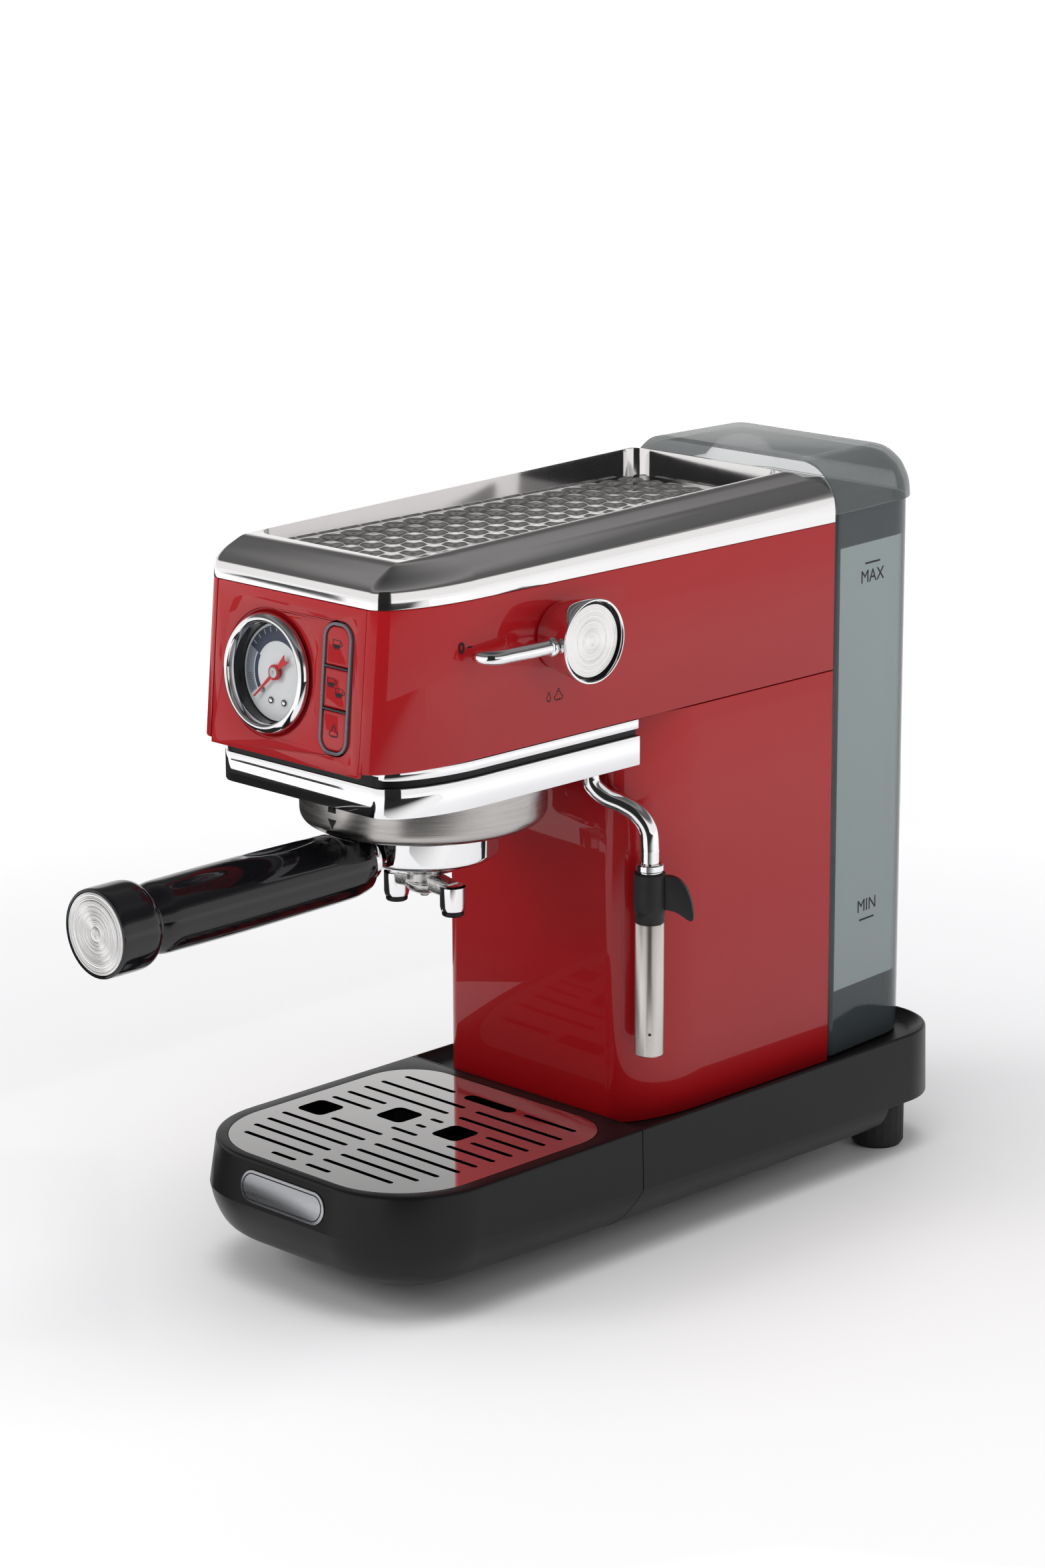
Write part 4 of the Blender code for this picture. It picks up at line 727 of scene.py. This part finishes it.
def cup_icon(size):
    """A small cup with its handle, and the drink in it filled in."""
    w, h, t = size, size * 0.72, size * 0.07
    outer = [(-w / 2, h / 2), (-w / 2 * 0.95, -h * 0.2), (-w * 0.3, -h / 2), (w * 0.14, -h / 2),
        (w * 0.3, -h * 0.2), (w * 0.32, h / 2)]
    inner = [(x * 0.86 - 0.01 * w, y * 0.86) for x, y in outer]
    drink = [(-w * 0.40, h * 0.02), (-w * 0.38, -h * 0.18), (-w * 0.26, -h * 0.38), (w * 0.10, -h * 0.38),
             (w * 0.23, -h * 0.18), (w * 0.25, h * 0.02)]
    ear = [(x + w * 0.34, y + h * 0.08) for x, y in sector(w * 0.13, w * 0.13 + t, -80, 80, 12)]
    return joined(*[flat(shape, 0, 0.05) for shape in ([outer, inner], [drink], [ear])])


def steam_icon(size):
    puffs = []
    for x, y, r, start, end in ((-0.28, -0.22, 0.22, 100, 330), (0.28, -0.22, 0.22, -150, 80),
            (0, 0.12, 0.24, -30, 210), (0.0, -0.3, 0.16, 200, 340), (0.0, 0.45, 0.12, 10, 200)):
        ring = sector((r - 0.045) * size, (r + 0.045) * size, start, end, 16)
        puffs.append(flat([[(px + x * size, py + y * size) for px, py in ring]], 0, 0.05))
    return joined(*puffs)


def panel_buttons():
    at = ON_PANEL @ shift(BUTTONS_X, 0, 0)
    outer = plan(8.2, -26.6, 26.6, (6.8, 6.8), (6.8, 6.8), 12)
    inner = plan(6.95, -25.4, 25.4, (5.4, 5.4), (5.4, 5.4), 12)
    surround = flat([outer, inner], -3, 0.75, 0.35)
    bed = flat([plan(7.2, -25.6, 25.6, (5.6, 5.6), (5.6, 5.6), 12)], -4, -3)
    put("button_surround", surround, "button_grey", ["button_frame"], at)
    put("button_bed", bed, "satin_black", at=at)
    bar_shape = block((-6.9, -0.5, -3), (6.9, 0.5, 0.85), 0.2, 2)
    bars = repeated(bar_shape, "piano_black", SCATTER_TREE, [(0, 8.6, 0), (0, -8.6, 0)])
    put("button_divisions", bars, "piano_black", at=at)
    caps = (("one_cup", [(-0.2, 0.65, cup_icon, 5.4)]),
            ("two_cup", [(-2.3, 2.2, cup_icon, 5.4), (2.5, -1.4, cup_icon, 5.4)]),
            ("steam", [(0.2, 0, steam_icon, 4.8)]))
    for i, (word, icons) in enumerate(caps):
        round_end, square_end = (5, 5), (0.8, 0.8)
        cap = (6.6, -8, 8, round_end if i == 2 else square_end, round_end if i == 0 else square_end)
        edge = ((0, -1.4), (0, -0.1), (0.15, 0.15), (0.5, 0.33), (1.2, 0.4))
        rows = [level(inset(*cap, by, 10), up) for by, up in edge]
        here = at @ shift(0, 17.1 * (1 - i), 0)
        put("cap_" + word, loft(rows), "red_enamel", ["button_" + word], here, body=word + "_button")
        for k, (x, y, icon, size) in enumerate(icons):
            put("icon_%s_%d" % (word, k), icon(size), "dark_print", at=here @ shift(x, y, 0.41),
                body=word + "_button")


def side_marks():
    """Small marks on the painted side: the off position, a water drop and steam."""
    side = shift(61.02, 0, 0) @ turn(90, "Z") @ turn(90, "X")
    zero = joined(lettering("0", 6.4, 0.16),
                  flat([[(3.4, -0.4), (5.6, -0.4), (5.6, 0.4), (3.4, 0.4)]], -0.03, 0.03))
    put("side_mark_off", zero, "dark_print", at=side @ shift(-218.5, 280, 0))
    drop = [(0, 2.4), (-1.2, -0.2), (-1.25, -1.1), (-0.8, -1.9), (0, -2.25), (0.8, -1.9), (1.25, -1.1),
        (1.2, -0.2)]
    inner = [(x * 0.68, y * 0.68 - 0.1) for x, y in drop]
    put("side_mark_drop", flat([drop, inner], -0.03, 0.03), "dark_print", at=side @ shift(-169.3, 251.8, 0))
    put("side_mark_steam", steam_icon(4.6), "dark_print", at=side @ shift(-163.6, 251.8, -0.02))


# ---------------------------------------------------------------- base, tray and grid

BASE_HALF = 71.3
BASE_REAR = 85
SEAM_Y, SEAM_Z = -123.4, 29
TRAY_FRONT = -266.4
GRID_OUTLINE = (64.3, -259, -129.6, (38, 38), (24, 24))


def mid_seam(y):
    if y < SEAM_Y:
        return SEAM_Z + 8 * (SEAM_Y - y) / (SEAM_Y - TRAY_FRONT)
    return SEAM_Z - 4 * (y - SEAM_Y) / (BASE_REAR - SEAM_Y)


def skirt_bottom(y):
    return 9 + 3 * max(0.0, (SEAM_Y - y) / (SEAM_Y - TRAY_FRONT))


def skirt(front, rear, front_corner, rear_corner, lean=0.0):
    rows = []
    for by, share in smooth([(20, 0), (12, 0.16), (5.6, 0.36), (1.4, 0.68), (-0.6, 1.0)]):
        outline = inset(BASE_HALF, front, rear, front_corner, rear_corner, by, 24)
        rows.append([(x, y, skirt_bottom(y) + share * (mid_seam(y) - skirt_bottom(y))) for x, y in outline])
    for by, z in ((0.0, 54.9), (0.12, 55.6), (0.45, 56.15), (0.9, 56.4), (1.4, 56.5)):
        rows.append(level(inset(BASE_HALF, front + lean, rear, front_corner, rear_corner, by, 24), z))
    return loft(rows)


def seam_block(side):
    step = -0.25 * side
    lean = 0.72 * SEAM_Z
    outline = [(SEAM_Y + step, 90), (SEAM_Y + step, SEAM_Z), (SEAM_Y + step - lean, 0),
        (SEAM_Y + side * 300, 0), (SEAM_Y + side * 300, 90)]
    return loft([[(x, y, z) for y, z in outline] for x in (-100, 100)])


def base():
    small, round_rear = (4, 4), (30, 30)
    body = skirt(SEAM_Y - 24, BASE_REAR, small, round_rear)
    lip = SEAM_Y + 1
    sides = ((-120.1, 7.5, 52.7), (lip, 3.4, 54.9), (lip, 1.6, 56.6), (lip, 1.6, 61))
    dish = loft([level(inset(BASE_HALF, edge - by, BASE_REAR, small, round_rear, by, 16), z)
                 for edge, by, z in sides])
    hollow = loft([level(inset(BASE_HALF, SEAM_Y + 3, 36, small, small, by), z)
                   for by, z in ((23, 0), (23, 13), (3.5, 30), (3.5, 49.7))])
    heel = block((-90, 40, -5), (90, 100, 25))
    switch = block((16.3, 70, 35.3), (33.7, 90, 44.7))
    socket = moved(rod(16, 40, 60), shift(0, 32, 0))
    gland = moved(rod(4.3, -10, 10, 32), shift(-34, BASE_REAR, 40) @ turn(-90, "X"))
    body = carve(body, seam_block(-1), dish, hollow, heel, switch, socket, gland)
    put("base_skirt", body, "satin_black", ["base_chassis"], sharp=22)


def tray():
    body = skirt(TRAY_FRONT, SEAM_Y + 20, (44, 44), (4, 4), 3)
    ledge = loft([level(inset(*GRID_OUTLINE, -0.35, 20), z) for z in (54.7, 62)])
    basin = loft([level(inset(*GRID_OUTLINE, by, 20), z) for by, z in ((13, 17), (5, 32), (2, 57.5))])
    tilt, badge_z = math.atan2(3.6, 18.3), 45.6
    face = TRAY_FRONT - 0.6 + (badge_z - mid_seam(TRAY_FRONT)) * math.tan(tilt)
    badge = shift(0, face, badge_z) @ turn(90 - math.degrees(tilt), "X")
    outline = plan(25.8, -7.2, 7.2, (7.2, 7.2), (7.2, 7.2), 12)
    seat = moved(loft([level(outline, z) for z in (-0.9, 5)]), badge)
    feet = [moved(rod(7, -1, 13, 40), shift(side * 20, -197, 0)) for side in (-1, 1)]
    body = carve(body, seam_block(1), ledge, basin, seat, *feet)
    put("tray_shell", body, "satin_black", ["drip_tray"], body="drip_tray_unit", sharp=22)
    disc = loft([level(inset(25.5, -6.9, 6.9, (6.9, 6.9), (6.9, 6.9), by, 16), z)
                 for by, z in ((0, -0.6), (0, 0.3), (0.15, 0.5), (0.5, 0.6))])
    line = flat([plan(24.2, -5.7, 5.7, (5.6, 5.6), (5.6, 5.6), 14),
        plan(23.7, -5.2, 5.2, (5.1, 5.1), (5.1, 5.1), 14)], 0.6, 0.68)
    put("badge_plate", disc, "badge_steel", ["tray_badge"], badge, body="drip_tray_unit")
    put("badge_line", line, "dark_print", at=badge, body="drip_tray_unit")


# The grid's slots: y of each row, then where each slot starts and ends.
SLOTS = (
    (-145, ((-52, -20.6), (21.9, 52.5))),
    (-156.5, ((-55, -2.9), (4, 55.4))),
    (-166.5, ((-55.4, -3), (3.9, 55.3))),
    (-176.3, ((-55.6, -31.5), (-3.5, 3.9), (30.1, 55.1))),
    (-185.6, ((-55.3, -31.3), (-2.8, 2.9), (30.4, 54.8))),
    (-195.2, ((-8, 7.5), (25.8, 54.1))),
    (-204.8, ((-35.3, -3.9), (2.6, 53.3))),
    (-214.4, ((-55.9, -4.3), (2, 53))),
    (-224, ((-54.8, -5), (1.5, 50.4))),
    (-233.1, ((-53.1, -5.5), (1.3, 47.8))),
    (-242.3, ((-49, -6.3), (0.4, 42.1))),
    (-251.3, ((-21.6, -7), (-0.4, 14.1))))


def grid():
    outlines = [plan(*GRID_OUTLINE, 20)]
    outlines += [pill(x0, x1, 1.25, y) for y, row in SLOTS for x0, x1 in row]
    outlines.append(pill(-13.8, 15.9, 3.2, -145, 12))
    for x, y in ((-48.3, -199.2), (-16.9, -182.2), (17.1, -182)):
        outlines.append([(x + px, y + py) for px, py in plan(7.8, -7.8, 7.8, (3.2, 3.2), (3.2, 3.2), 6)])
    plate = flat(outlines, 55.1, 56.5, 0.32)
    put("tray_grid", plate, "grid_mirror", ["drip_grid"], body="drip_grid_unit", sharp=25)


# ---------------------------------------------------------------- brew group and handle

def group():
    skirt_ring = smooth([(52, 198.4), (51.7, 196.3), (50.5, 194.3), (48.6, 193.1)])
    ring = [(52, 212.8)] + skirt_ring + [(46, 193), (45, 193.2), (39.4, 197), (39, 197.4), (39, 212.8)]
    put("lock_ring", lathe(ring, 160, True), "turned_steel", ["group_ring"], GROUP, sharp=25)
    arrow = flat([[(-2.6, 1.9), (0, -2.4), (2.6, 1.9)]], 0, 0.06)
    square, bow = [(-2.3, -1.3), (2.3, -1.3), (2.3, 1.3), (-2.3, 1.3)], sector(1.1, 1.7, 0, 180, 12)
    lock = moved(joined(flat([square], 0, 0.06), flat([bow], 0, 0.06)), shift(0, 6, 0))
    put("lock_mark", joined(arrow, lock), "dark_print", at=GROUP @ shift(0, -51.98, 199.5) @ turn(90, "X"))


def turned_disc(radius, depth, seed, pitch=0.16, ripple=0.034):
    """A spun face whose fine rings are real, so light fans out on it."""
    rng = np.random.default_rng(seed)
    radii = np.arange(0.4, radius - 0.3, pitch)
    heights = rng.uniform(-ripple, ripple, len(radii))
    profile = [(0, 0)] + list(zip(radii, heights)) + [(radius - 0.15, 0), (radius, -0.15),
        (radius, -depth), (0, -depth)]
    return lathe(profile, 96)


SPOUT_X = 17


def portafilter():
    bowl_side = smooth([(31.75, 179.6), (31.3, 178.2), (30.1, 177), (28.4, 176.4), (24, 174.6), (18, 172.1),
                              (12, 170.4), (7, 169.7)])
    bowl = [(29.6, 204.1), (31.5, 204.1), (31.75, 203.8)] + bowl_side + [(2.5, 169.7), (2.5, 173.6),
        (26, 179.1), (29.6, 181.6)]
    mesh = lathe(bowl, 128, True)
    lugs = [moved(block((30.75, -7, 197), (35.75, 7, 200), 0.5, 2), turn(angle, "Z")) for angle in (0, 180)]
    band = lathe([(31.7, 190.4), (32.3, 190.1), (32.3, 188.4), (31.7, 188.1)], 128, True)
    put("bowl", joined(mesh, band, *lugs), "chrome_plate", ["filter_bowl"], GROUP, body="portafilter",
        sharp=30)

    arm_rows = []
    for x in np.linspace(-SPOUT_X, SPOUT_X, 21):
        out = abs(x) / SPOUT_X
        low, high = 162.2 - 1.6 * out, 169.2 - 2.4 * out ** 2
        section = plan(4.6 - 0.6 * out, low, high, (1.8, 1.8), (1.8, 1.8), 4)
        arm_rows.append([(x, y, z) for y, z in section])
    arm = loft(arm_rows)
    boss = lathe(smooth([(7.6, 169.35), (7.6, 166), (8.2, 164.5), (7.0, 161.6), (3.5, 159.8)])
        + [(0, 159.6), (0, 169.35)], 64)
    nub = lathe([(0, 158.2), (1.6, 158.4), (2.0, 159), (2.0, 161), (0, 161)], 32)
    body = joined(arm, boss, nub)
    put("spout_arm", body, "cast_metal", ["twin_spout"], GROUP, body="portafilter")
    for side, word in ((-1, "left"), (1, "right")):
        nozzle = [(5.4, 165.5), (5.4, 157), (5.0, 155.4), (4.2, 155.0), (3.2, 155.0), (3.2, 160), (0, 160),
            (0, 166.4), (4.6, 166.4)]
        place = GROUP @ shift(side * SPOUT_X, 0, 0)
        put("spout_nozzle_" + word, lathe(nozzle, 64), "chrome_plate", at=place, body="portafilter")
        tip = [(3.1, 156.5), (3.1, 153.2), (3.3, 153.0), (4.2, 153.0), (4.6, 153.4), (4.7, 154.9),
            (4.1, 154.95), (3.9, 156.5)]
        put("spout_tip_" + word, lathe(tip, 48, True), "satin_black", at=place, body="portafilter")

    line = GROUP @ shift(0, 0, 181) @ turn(90.4, "X")      # along the handle, away from the bowl
    end, start = 178, 34.25
    neck = [(0, start - 2), (8.8, start - 2), (8.8, start + 2.6), (8.3, start + 3.7), (4, start + 3.9),
        (4, start + 24), (0, start + 24)]
    put("handle_root", lathe(neck, 64), "chrome_plate", ["handle_neck"], line, body="portafilter")
    grip_side = smooth([(13.0, start + 4.5), (13.9, start + 9), (14.4, start + 16), (14.9, start + 50),
                        (15.1, end - 66), (14.9, end - 40), (14.6, end - 30), (12.8, end - 25.2),
                        (12.6, end - 24), (13.6, end - 21.3)])
    grip = lathe([(4.3, start + 24.3), (4.3, start + 4.3), (12.2, start + 4.3)] + grip_side
        + [(0, end - 21.3), (0, start + 24.3)], 96)
    dent = [(9 * math.cos(math.radians(a)), 30 * math.sin(math.radians(a))) for a in range(-80, 81, 10)]
    scoops = [moved(lathe([(0, -30)] + dent + [(0, 30)], 48), shift(0, side * 21.6, start + 46))
        for side in (-1, 1)]
    clearance = moved(rod(53.5, 192.3, 213, 96), line.inverted() @ GROUP)
    grip = carve(grip, *scoops, clearance)
    put("grip_shell", grip, "piano_black", ["handle_grip"], line, body="portafilter", sharp=30)
    collar_side = smooth([(12.9, end - 20.7), (16.6, end - 20.2), (17.7, end - 18.6), (18.2, end - 16),
        (18.25, end - 8), (18.2, end - 1.2), (17.8, end - 0.2)])
    collar = [(0, end - 20.7)] + collar_side + [(17.3, end), (17.05, end), (16.95, end - 0.3),
        (16.95, end - 2), (0, end - 2)]
    put("collar_shell", lathe(collar, 96), "piano_black", ["handle_collar"], line, body="portafilter",
        sharp=30)
    disc = moved(turned_disc(16.75, 1.3, 3), shift(0, 0, end - 0.4))
    put("handle_face", disc, "spun_steel", ["handle_disc"], line, body="portafilter", sharp=1)


# ---------------------------------------------------------------- steam knob and wand

def steam_knob():
    end = 81
    shell = smooth([(17.2, end), (17.5, end - 0.5), (17.3, end - 3), (16.8, end - 6), (15.6, end - 12),
        (14.6, end - 16), (14, 62)])
    rim = [(0, end - 3.5), (16.2, end - 3.5), (16.5, end - 0.4), (16.8, end)]
    barrel = rim + shell + [(5.5, 62), (5.5, 46), (0, 46)]
    put("knob_shell", lathe(barrel, 96), "chrome_plate", ["knob_barrel"], KNOB, body="steam_knob", sharp=30)
    gap = rod(16.1, end - 3.4, end - 3.1, 64)
    put("knob_shadow_ring", gap, "satin_black", at=KNOB, body="steam_knob")
    disc = moved(turned_disc(15, 1.3, 5), shift(0, 0, end - 1.75))
    put("knob_disc", disc, "spun_steel", ["knob_face"], KNOB, body="steam_knob", sharp=1)
    x = 74.8
    bends = ((0, -180.5), (0, -184), (0.2, -192), (0.8, -202), (1.3, -209), (3, -212.6), (6.5, -214.6),
        (10.5, -215))
    path = curved([(x - inward, y, KNOB_Z) for inward, y in bends], 6)
    thick, tip = 3.05, len(path) - 6       # the bar ends in a dome over its last points
    radii = [thick if i <= tip else thick * math.sqrt(max(0.02, 1 - ((i - tip) / 5.2) ** 2))
        for i in range(len(path))]
    lever = bar(path, radii, 32)
    cuff = smooth([(3.1, 20.6), (3.9, 20.1), (4.1, 19.2), (3.9, 18.2), (3.0, 17.6), (1.9, 17.2)])
    cuff = lathe(cuff + [(1.9, 15.6), (0, 15.6), (0, 20.6)], 40)
    cuff = moved(cuff, shift(x, KNOB_Y, KNOB_Z) @ turn(90, "X"))
    put("lever_bar", joined(lever, cuff), "chrome_plate", ["knob_lever"], body="steam_knob")


def steam_wand():
    (px, py), (dx, dy) = WAND_PIVOT, WAND_DROP
    outward = math.degrees(math.atan2(dy - py, dx - px))
    bend = [(px + x, py + y, z) for x, y, z in ((0, 0, 223), (0, 0, 212), (0.5, 0.3, 205), (5, 3.3, 199.6),
                                                (11, 7.4, 196.6), (16.4, 11, 192.6), (20.2, 13.5, 186))]
    path = curved(bend + [(dx, dy, z) for z in (177, 172, 118)], 8)
    put("wand_tube", bar(path, 4.0, 32), "chrome_plate", ["wand_pipe"], body="steam_wand")
    down = shift(dx, dy, 0)
    nut = [(4.3, 171.4), (5.4, 171.4), (6, 170.9), (6, 168.6), (5.5, 168.1), (5.5, 167.7), (4.3, 167.7)]
    put("wand_collar", lathe(nut, 48, True), "chrome_plate", ["wand_nut"], down, body="steam_wand")
    side = smooth([(6.8, 166.9), (6.95, 160), (6.9, 152), (6.5, 150)])
    sleeve = [(4.3, 167.4), (6.3, 167.4)] + side + [(6.3, 149), (6.3, 145.8), (4.3, 145.8)]
    fin = smooth([(5.6, 166), (9, 166.2), (12.4, 165), (15.6, 161.5), (17.8, 156), (18.8, 150),
        (18.6, 147.6), (17, 147.3), (14, 149.2), (10.5, 151), (5.6, 151.6)])
    blade = moved(flat([fin], -1.6, 1.6, 0.5), turn(outward, "Z") @ turn(90, "X"))
    put("wand_holder", joined(lathe(sleeve, 64, True), blade), "matt_black", ["wand_grip"], down,
        body="steam_wand")
    tube = lathe([(4.5, 145.5), (6.0, 145.5), (6.2, 145.2), (6.2, 87.5), (5.9, 87.1), (5.4, 87), (4.5, 87)],
                 64, True)
    hole = moved(rod(0.7, 0, 9, 16), shift(0, 0, 97.5) @ turn(-45, "Z") @ turn(90, "Y"))
    put("froth_tube", carve(tube, hole), "sleeve_steel", ["frother_sleeve"], down, body="frother")


# ---------------------------------------------------------------- tank

TANK_LONG = 66        # from the tank's front face to its rear


def tank_ring(by, z, steps=16):
    outline = inset(60, 11, 77, (3, 3), (22, 22), by, steps)
    return [(x * (1 - 0.085 * (y - 11) / TANK_LONG), y, z) for x, y in outline]


def tank():
    rows = [tank_ring(by, z)
            for by, z in ((2, 53.2), (0.6, 53.8), (0, 55.2), (0, 301.5), (2.2, 301.5), (2.2, 56))]
    put("tank_shell", loft(rows), "tank_smoke", ["water_tank"], body="tank", sharp=30)
    lid_dome = ((0, 301.8), (0.1, 304), (0.5, 307.5), (1.3, 310.6), (2.8, 313.9), (5, 317.5), (10, 322),
        (14.4, 324), (19.2, 325))

    def lid_rows(by, drop):
        made = []
        for tuck, z in smooth(lid_dome, 2):
            row = []
            for x, y in inset(61, 9.3, 78.5, (3, 3), (23, 23), by + tuck, 16):
                narrow = 1 - 0.07 * max(0.0, y - 11) / TANK_LONG
                row.append((x * narrow, max(9.3 + by, y - tuck) if y < 30 else y, z - drop))
            made.append(row)
        return made

    lid = carve(loft(lid_rows(0, 0)), loft(lid_rows(2, 2)))
    put("lid_shell", lid, "lid_smoke", ["tank_lid"], body="lid", sharp=30)
    side = turn(90, "Z") @ turn(90, "X")
    for word, z, up, text in (("most", 276.7, -6.2, "MAX"), ("least", 113, 6.2, "MIN")):
        line = flat([[(-5.6, -0.4 - up), (5.6, -0.4 - up), (5.6, 0.4 - up), (-5.6, 0.4 - up)]], -0.03, 0.03)
        mark = joined(lettering(text, 8.2), line)
        place = shift(57.95, 38.1, z + up) @ turn(math.degrees(math.atan(5.1 / TANK_LONG)), "Z") @ side
        put("level_mark_" + word, mark, "dark_print", at=place, body="tank")


# ---------------------------------------------------------------- everything

column()
for one_side in (-1, 1):
    side_skin(one_side)
chrome_top()
trims()
panel()
gauge()
panel_buttons()
side_marks()
base()
tray()
grid()
group()
portafilter()
steam_knob()
steam_wand()
tank()

# The finish of each CAD node that stays, where it isn't satin black (or rubber, for a foot).
KEPT = {"power_rocker": "piano_black", "cord_gland": "foot_rubber", "group_gasket": "foot_rubber",
        "group_head": "alloy", "thermoblock": "alloy", "shower_screen": "pressed_steel",
        "filter_basket": "pressed_steel", "steam_valve": "brass", "pump": "matt_black",
        "control_board": "board_green", "suction_hose": "silicone_hose", "pressure_hose": "silicone_hose"}
for node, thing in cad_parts.items():
    if thing.hide_render:
        continue
    finish = KEPT.get(node, "foot_rubber" if "foot" in node else "satin_black")
    for holder in thing.material_slots:
        holder.material = FINISHES[finish].material


# ---------------------------------------------------------------- stage

def stage():
    far = 40
    sheet = mesh_of([(-far, -far, 0), (far, -far, 0), (far, far, 0), (-far, far, 0)], [(0, 1, 2, 3)])
    floor = bpy.data.objects.new("floor", sheet)
    EVERYTHING.objects.link(floor)
    pale = Finish("floor_pale", (0.74, 0.74, 0.745), 0.6, Emission_Color=(1, 1, 1, 1),
        Emission_Strength=1.0)
    # Painted light: the floor glows more the farther it lies from the machine, so near the machine it stays
    # darker, a painted shade on top of the lamps' real shadows.
    x, y, _ = pale.axes()
    away = ((x - 0.02) ** 2 + (y + 0.02) ** 2) ** 0.5
    painted_glow = away.over(0.72, 0.42) * 0.34 + away.over(1.6, 1.2) * 0.3
    pale.shade(3, 0.01).gloss(5, 0.5, 0.7).feed("Emission Color", pale.mix(painted_glow, (0, 0, 0), (1, 1, 1)))
    floor.data.materials.append(pale.material)

    world = bpy.data.worlds.new("studio")
    bpy.context.scene.world = world
    world.use_nodes = True
    sky = Nodes(world.node_tree)
    direction = sky.node("ShaderNodeTexCoord", output="Generated")
    height = sky.node("ShaderNodeSeparateXYZ", None, {0: direction}, "Z")
    tones = ((0.0, 1.0), (0.27, 0.98), (0.35, 0.32), (0.45, 0.11), (0.62, 0.13), (0.72, 0.26),
        (0.86, 0.14), (1.0, 0.06))
    stops = [(where, (tone, tone * 0.985, tone * 0.98)) for where, tone in tones]
    mirrored = sky.node("ShaderNodeValToRGB", {"stops": stops}, {0: height})
    glossy, camera_ray = (sky.node("ShaderNodeLightPath", output=ray)
                          for ray in ("Is Glossy Ray", "Is Camera Ray"))
    unseen = sky.mix(glossy, (0.62, 0.62, 0.63), mirrored)
    shown = sky.mix(camera_ray, unseen, (1, 1, 1))
    sky.tree.links.new(shown.socket, sky.tree.nodes["Background"].inputs[0])

    for name, spot, aim, size, power in (
            ("overhead", (0.1, -0.15, 1.7), (0, 0, 0.1), (1.2, 1.2), 20),
            ("front_left", (-1.1, -1.7, 1.2), (0, 0, 0.2), (1.0, 1.0), 18),
            ("right_side", (1.9, 0.5, 1.0), (0, 0, 0.15), (1.2, 1.2), 6)):
        lamp = bpy.data.lights.new(name, "AREA")
        lamp.shape = "RECTANGLE"
        lamp.size, lamp.size_y = size
        lamp.energy = power
        holder = bpy.data.objects.new(name, lamp)
        EVERYTHING.objects.link(holder)
        holder.location = spot
        holder.rotation_euler = (Vector(spot) - Vector(aim)).to_track_quat("Z", "Y").to_euler()
        holder.visible_glossy = False

    # Dark cards that only reflections see: they put the dark bands on the metal.
    low = 0.002
    flags = {
        "flag_low_left": [(-1.6, -0.55, low), (-0.3, -0.55, low), (-0.3, 0.75, low), (-1.6, 0.75, low)],
        "flag_far_left": [(-1.06, -1.27, low), (-1.745, -1.99, low), (-2.3, -1.99, low), (-1.6, -1.27, low)],
        "flag_near_left": [(-0.02, -0.20, low), (-0.38, -0.56, low), (-0.56, -0.38, low), (-0.20, -0.06, low)],
        "flag_low_front": [(0.3, -0.16, low), (0.16, -0.42, low), (1.1, -2.2, low), (2.2, -1.1, low),
                           (2.3, 0.55, low), (0.9, 0.20, low)],
        "flag_tall_front": [(1.1, -2.2, 0), (2.2, -1.1, 0), (2.2, -1.1, 2.4), (1.1, -2.2, 2.4)]}
    for name, corners in flags.items():
        flag = bpy.data.objects.new(name, mesh_of(corners, [tuple(range(len(corners)))]))
        EVERYTHING.objects.link(flag)
        cloth = Finish("cloth_" + name, (0.01, 0.01, 0.01), 0.9)
        if name == "flag_low_front":
            x, y, _ = cloth.axes()
            fade = (y - 0.355 * x).over(-0.5, 0.22)
            cloth.shader.inputs["Emission Strength"].default_value = 1.0
            cloth.feed("Emission Color", cloth.mix(fade, (0, 0, 0), (1, 1, 1)))
        flag.data.materials.append(cloth.material)
        flag.visible_camera = flag.visible_diffuse = flag.visible_shadow = flag.visible_transmission = False

    camera = bpy.data.cameras.new("camera")
    camera.lens = 93.51
    camera.sensor_width = 36
    holder = bpy.data.objects.new("camera", camera)
    EVERYTHING.objects.link(holder)
    azimuth, elevation, roll = math.radians(44.792), math.radians(14.721), math.radians(-0.247)
    back = Vector((math.sin(azimuth) * math.cos(elevation), -math.cos(azimuth) * math.cos(elevation),
                   math.sin(elevation)))
    right = Vector((math.cos(azimuth), math.sin(azimuth), 0))
    up = back.cross(right)
    right, up = right * math.cos(roll) + up * math.sin(roll), up * math.cos(roll) - right * math.sin(roll)
    facing = Matrix((right, up, back)).transposed().to_4x4()
    holder.matrix_world = shift(1.1830, -1.18504, 0.6386) @ facing
    bpy.context.scene.camera = holder
    bpy.context.scene.view_settings.view_transform = "Standard"


stage()
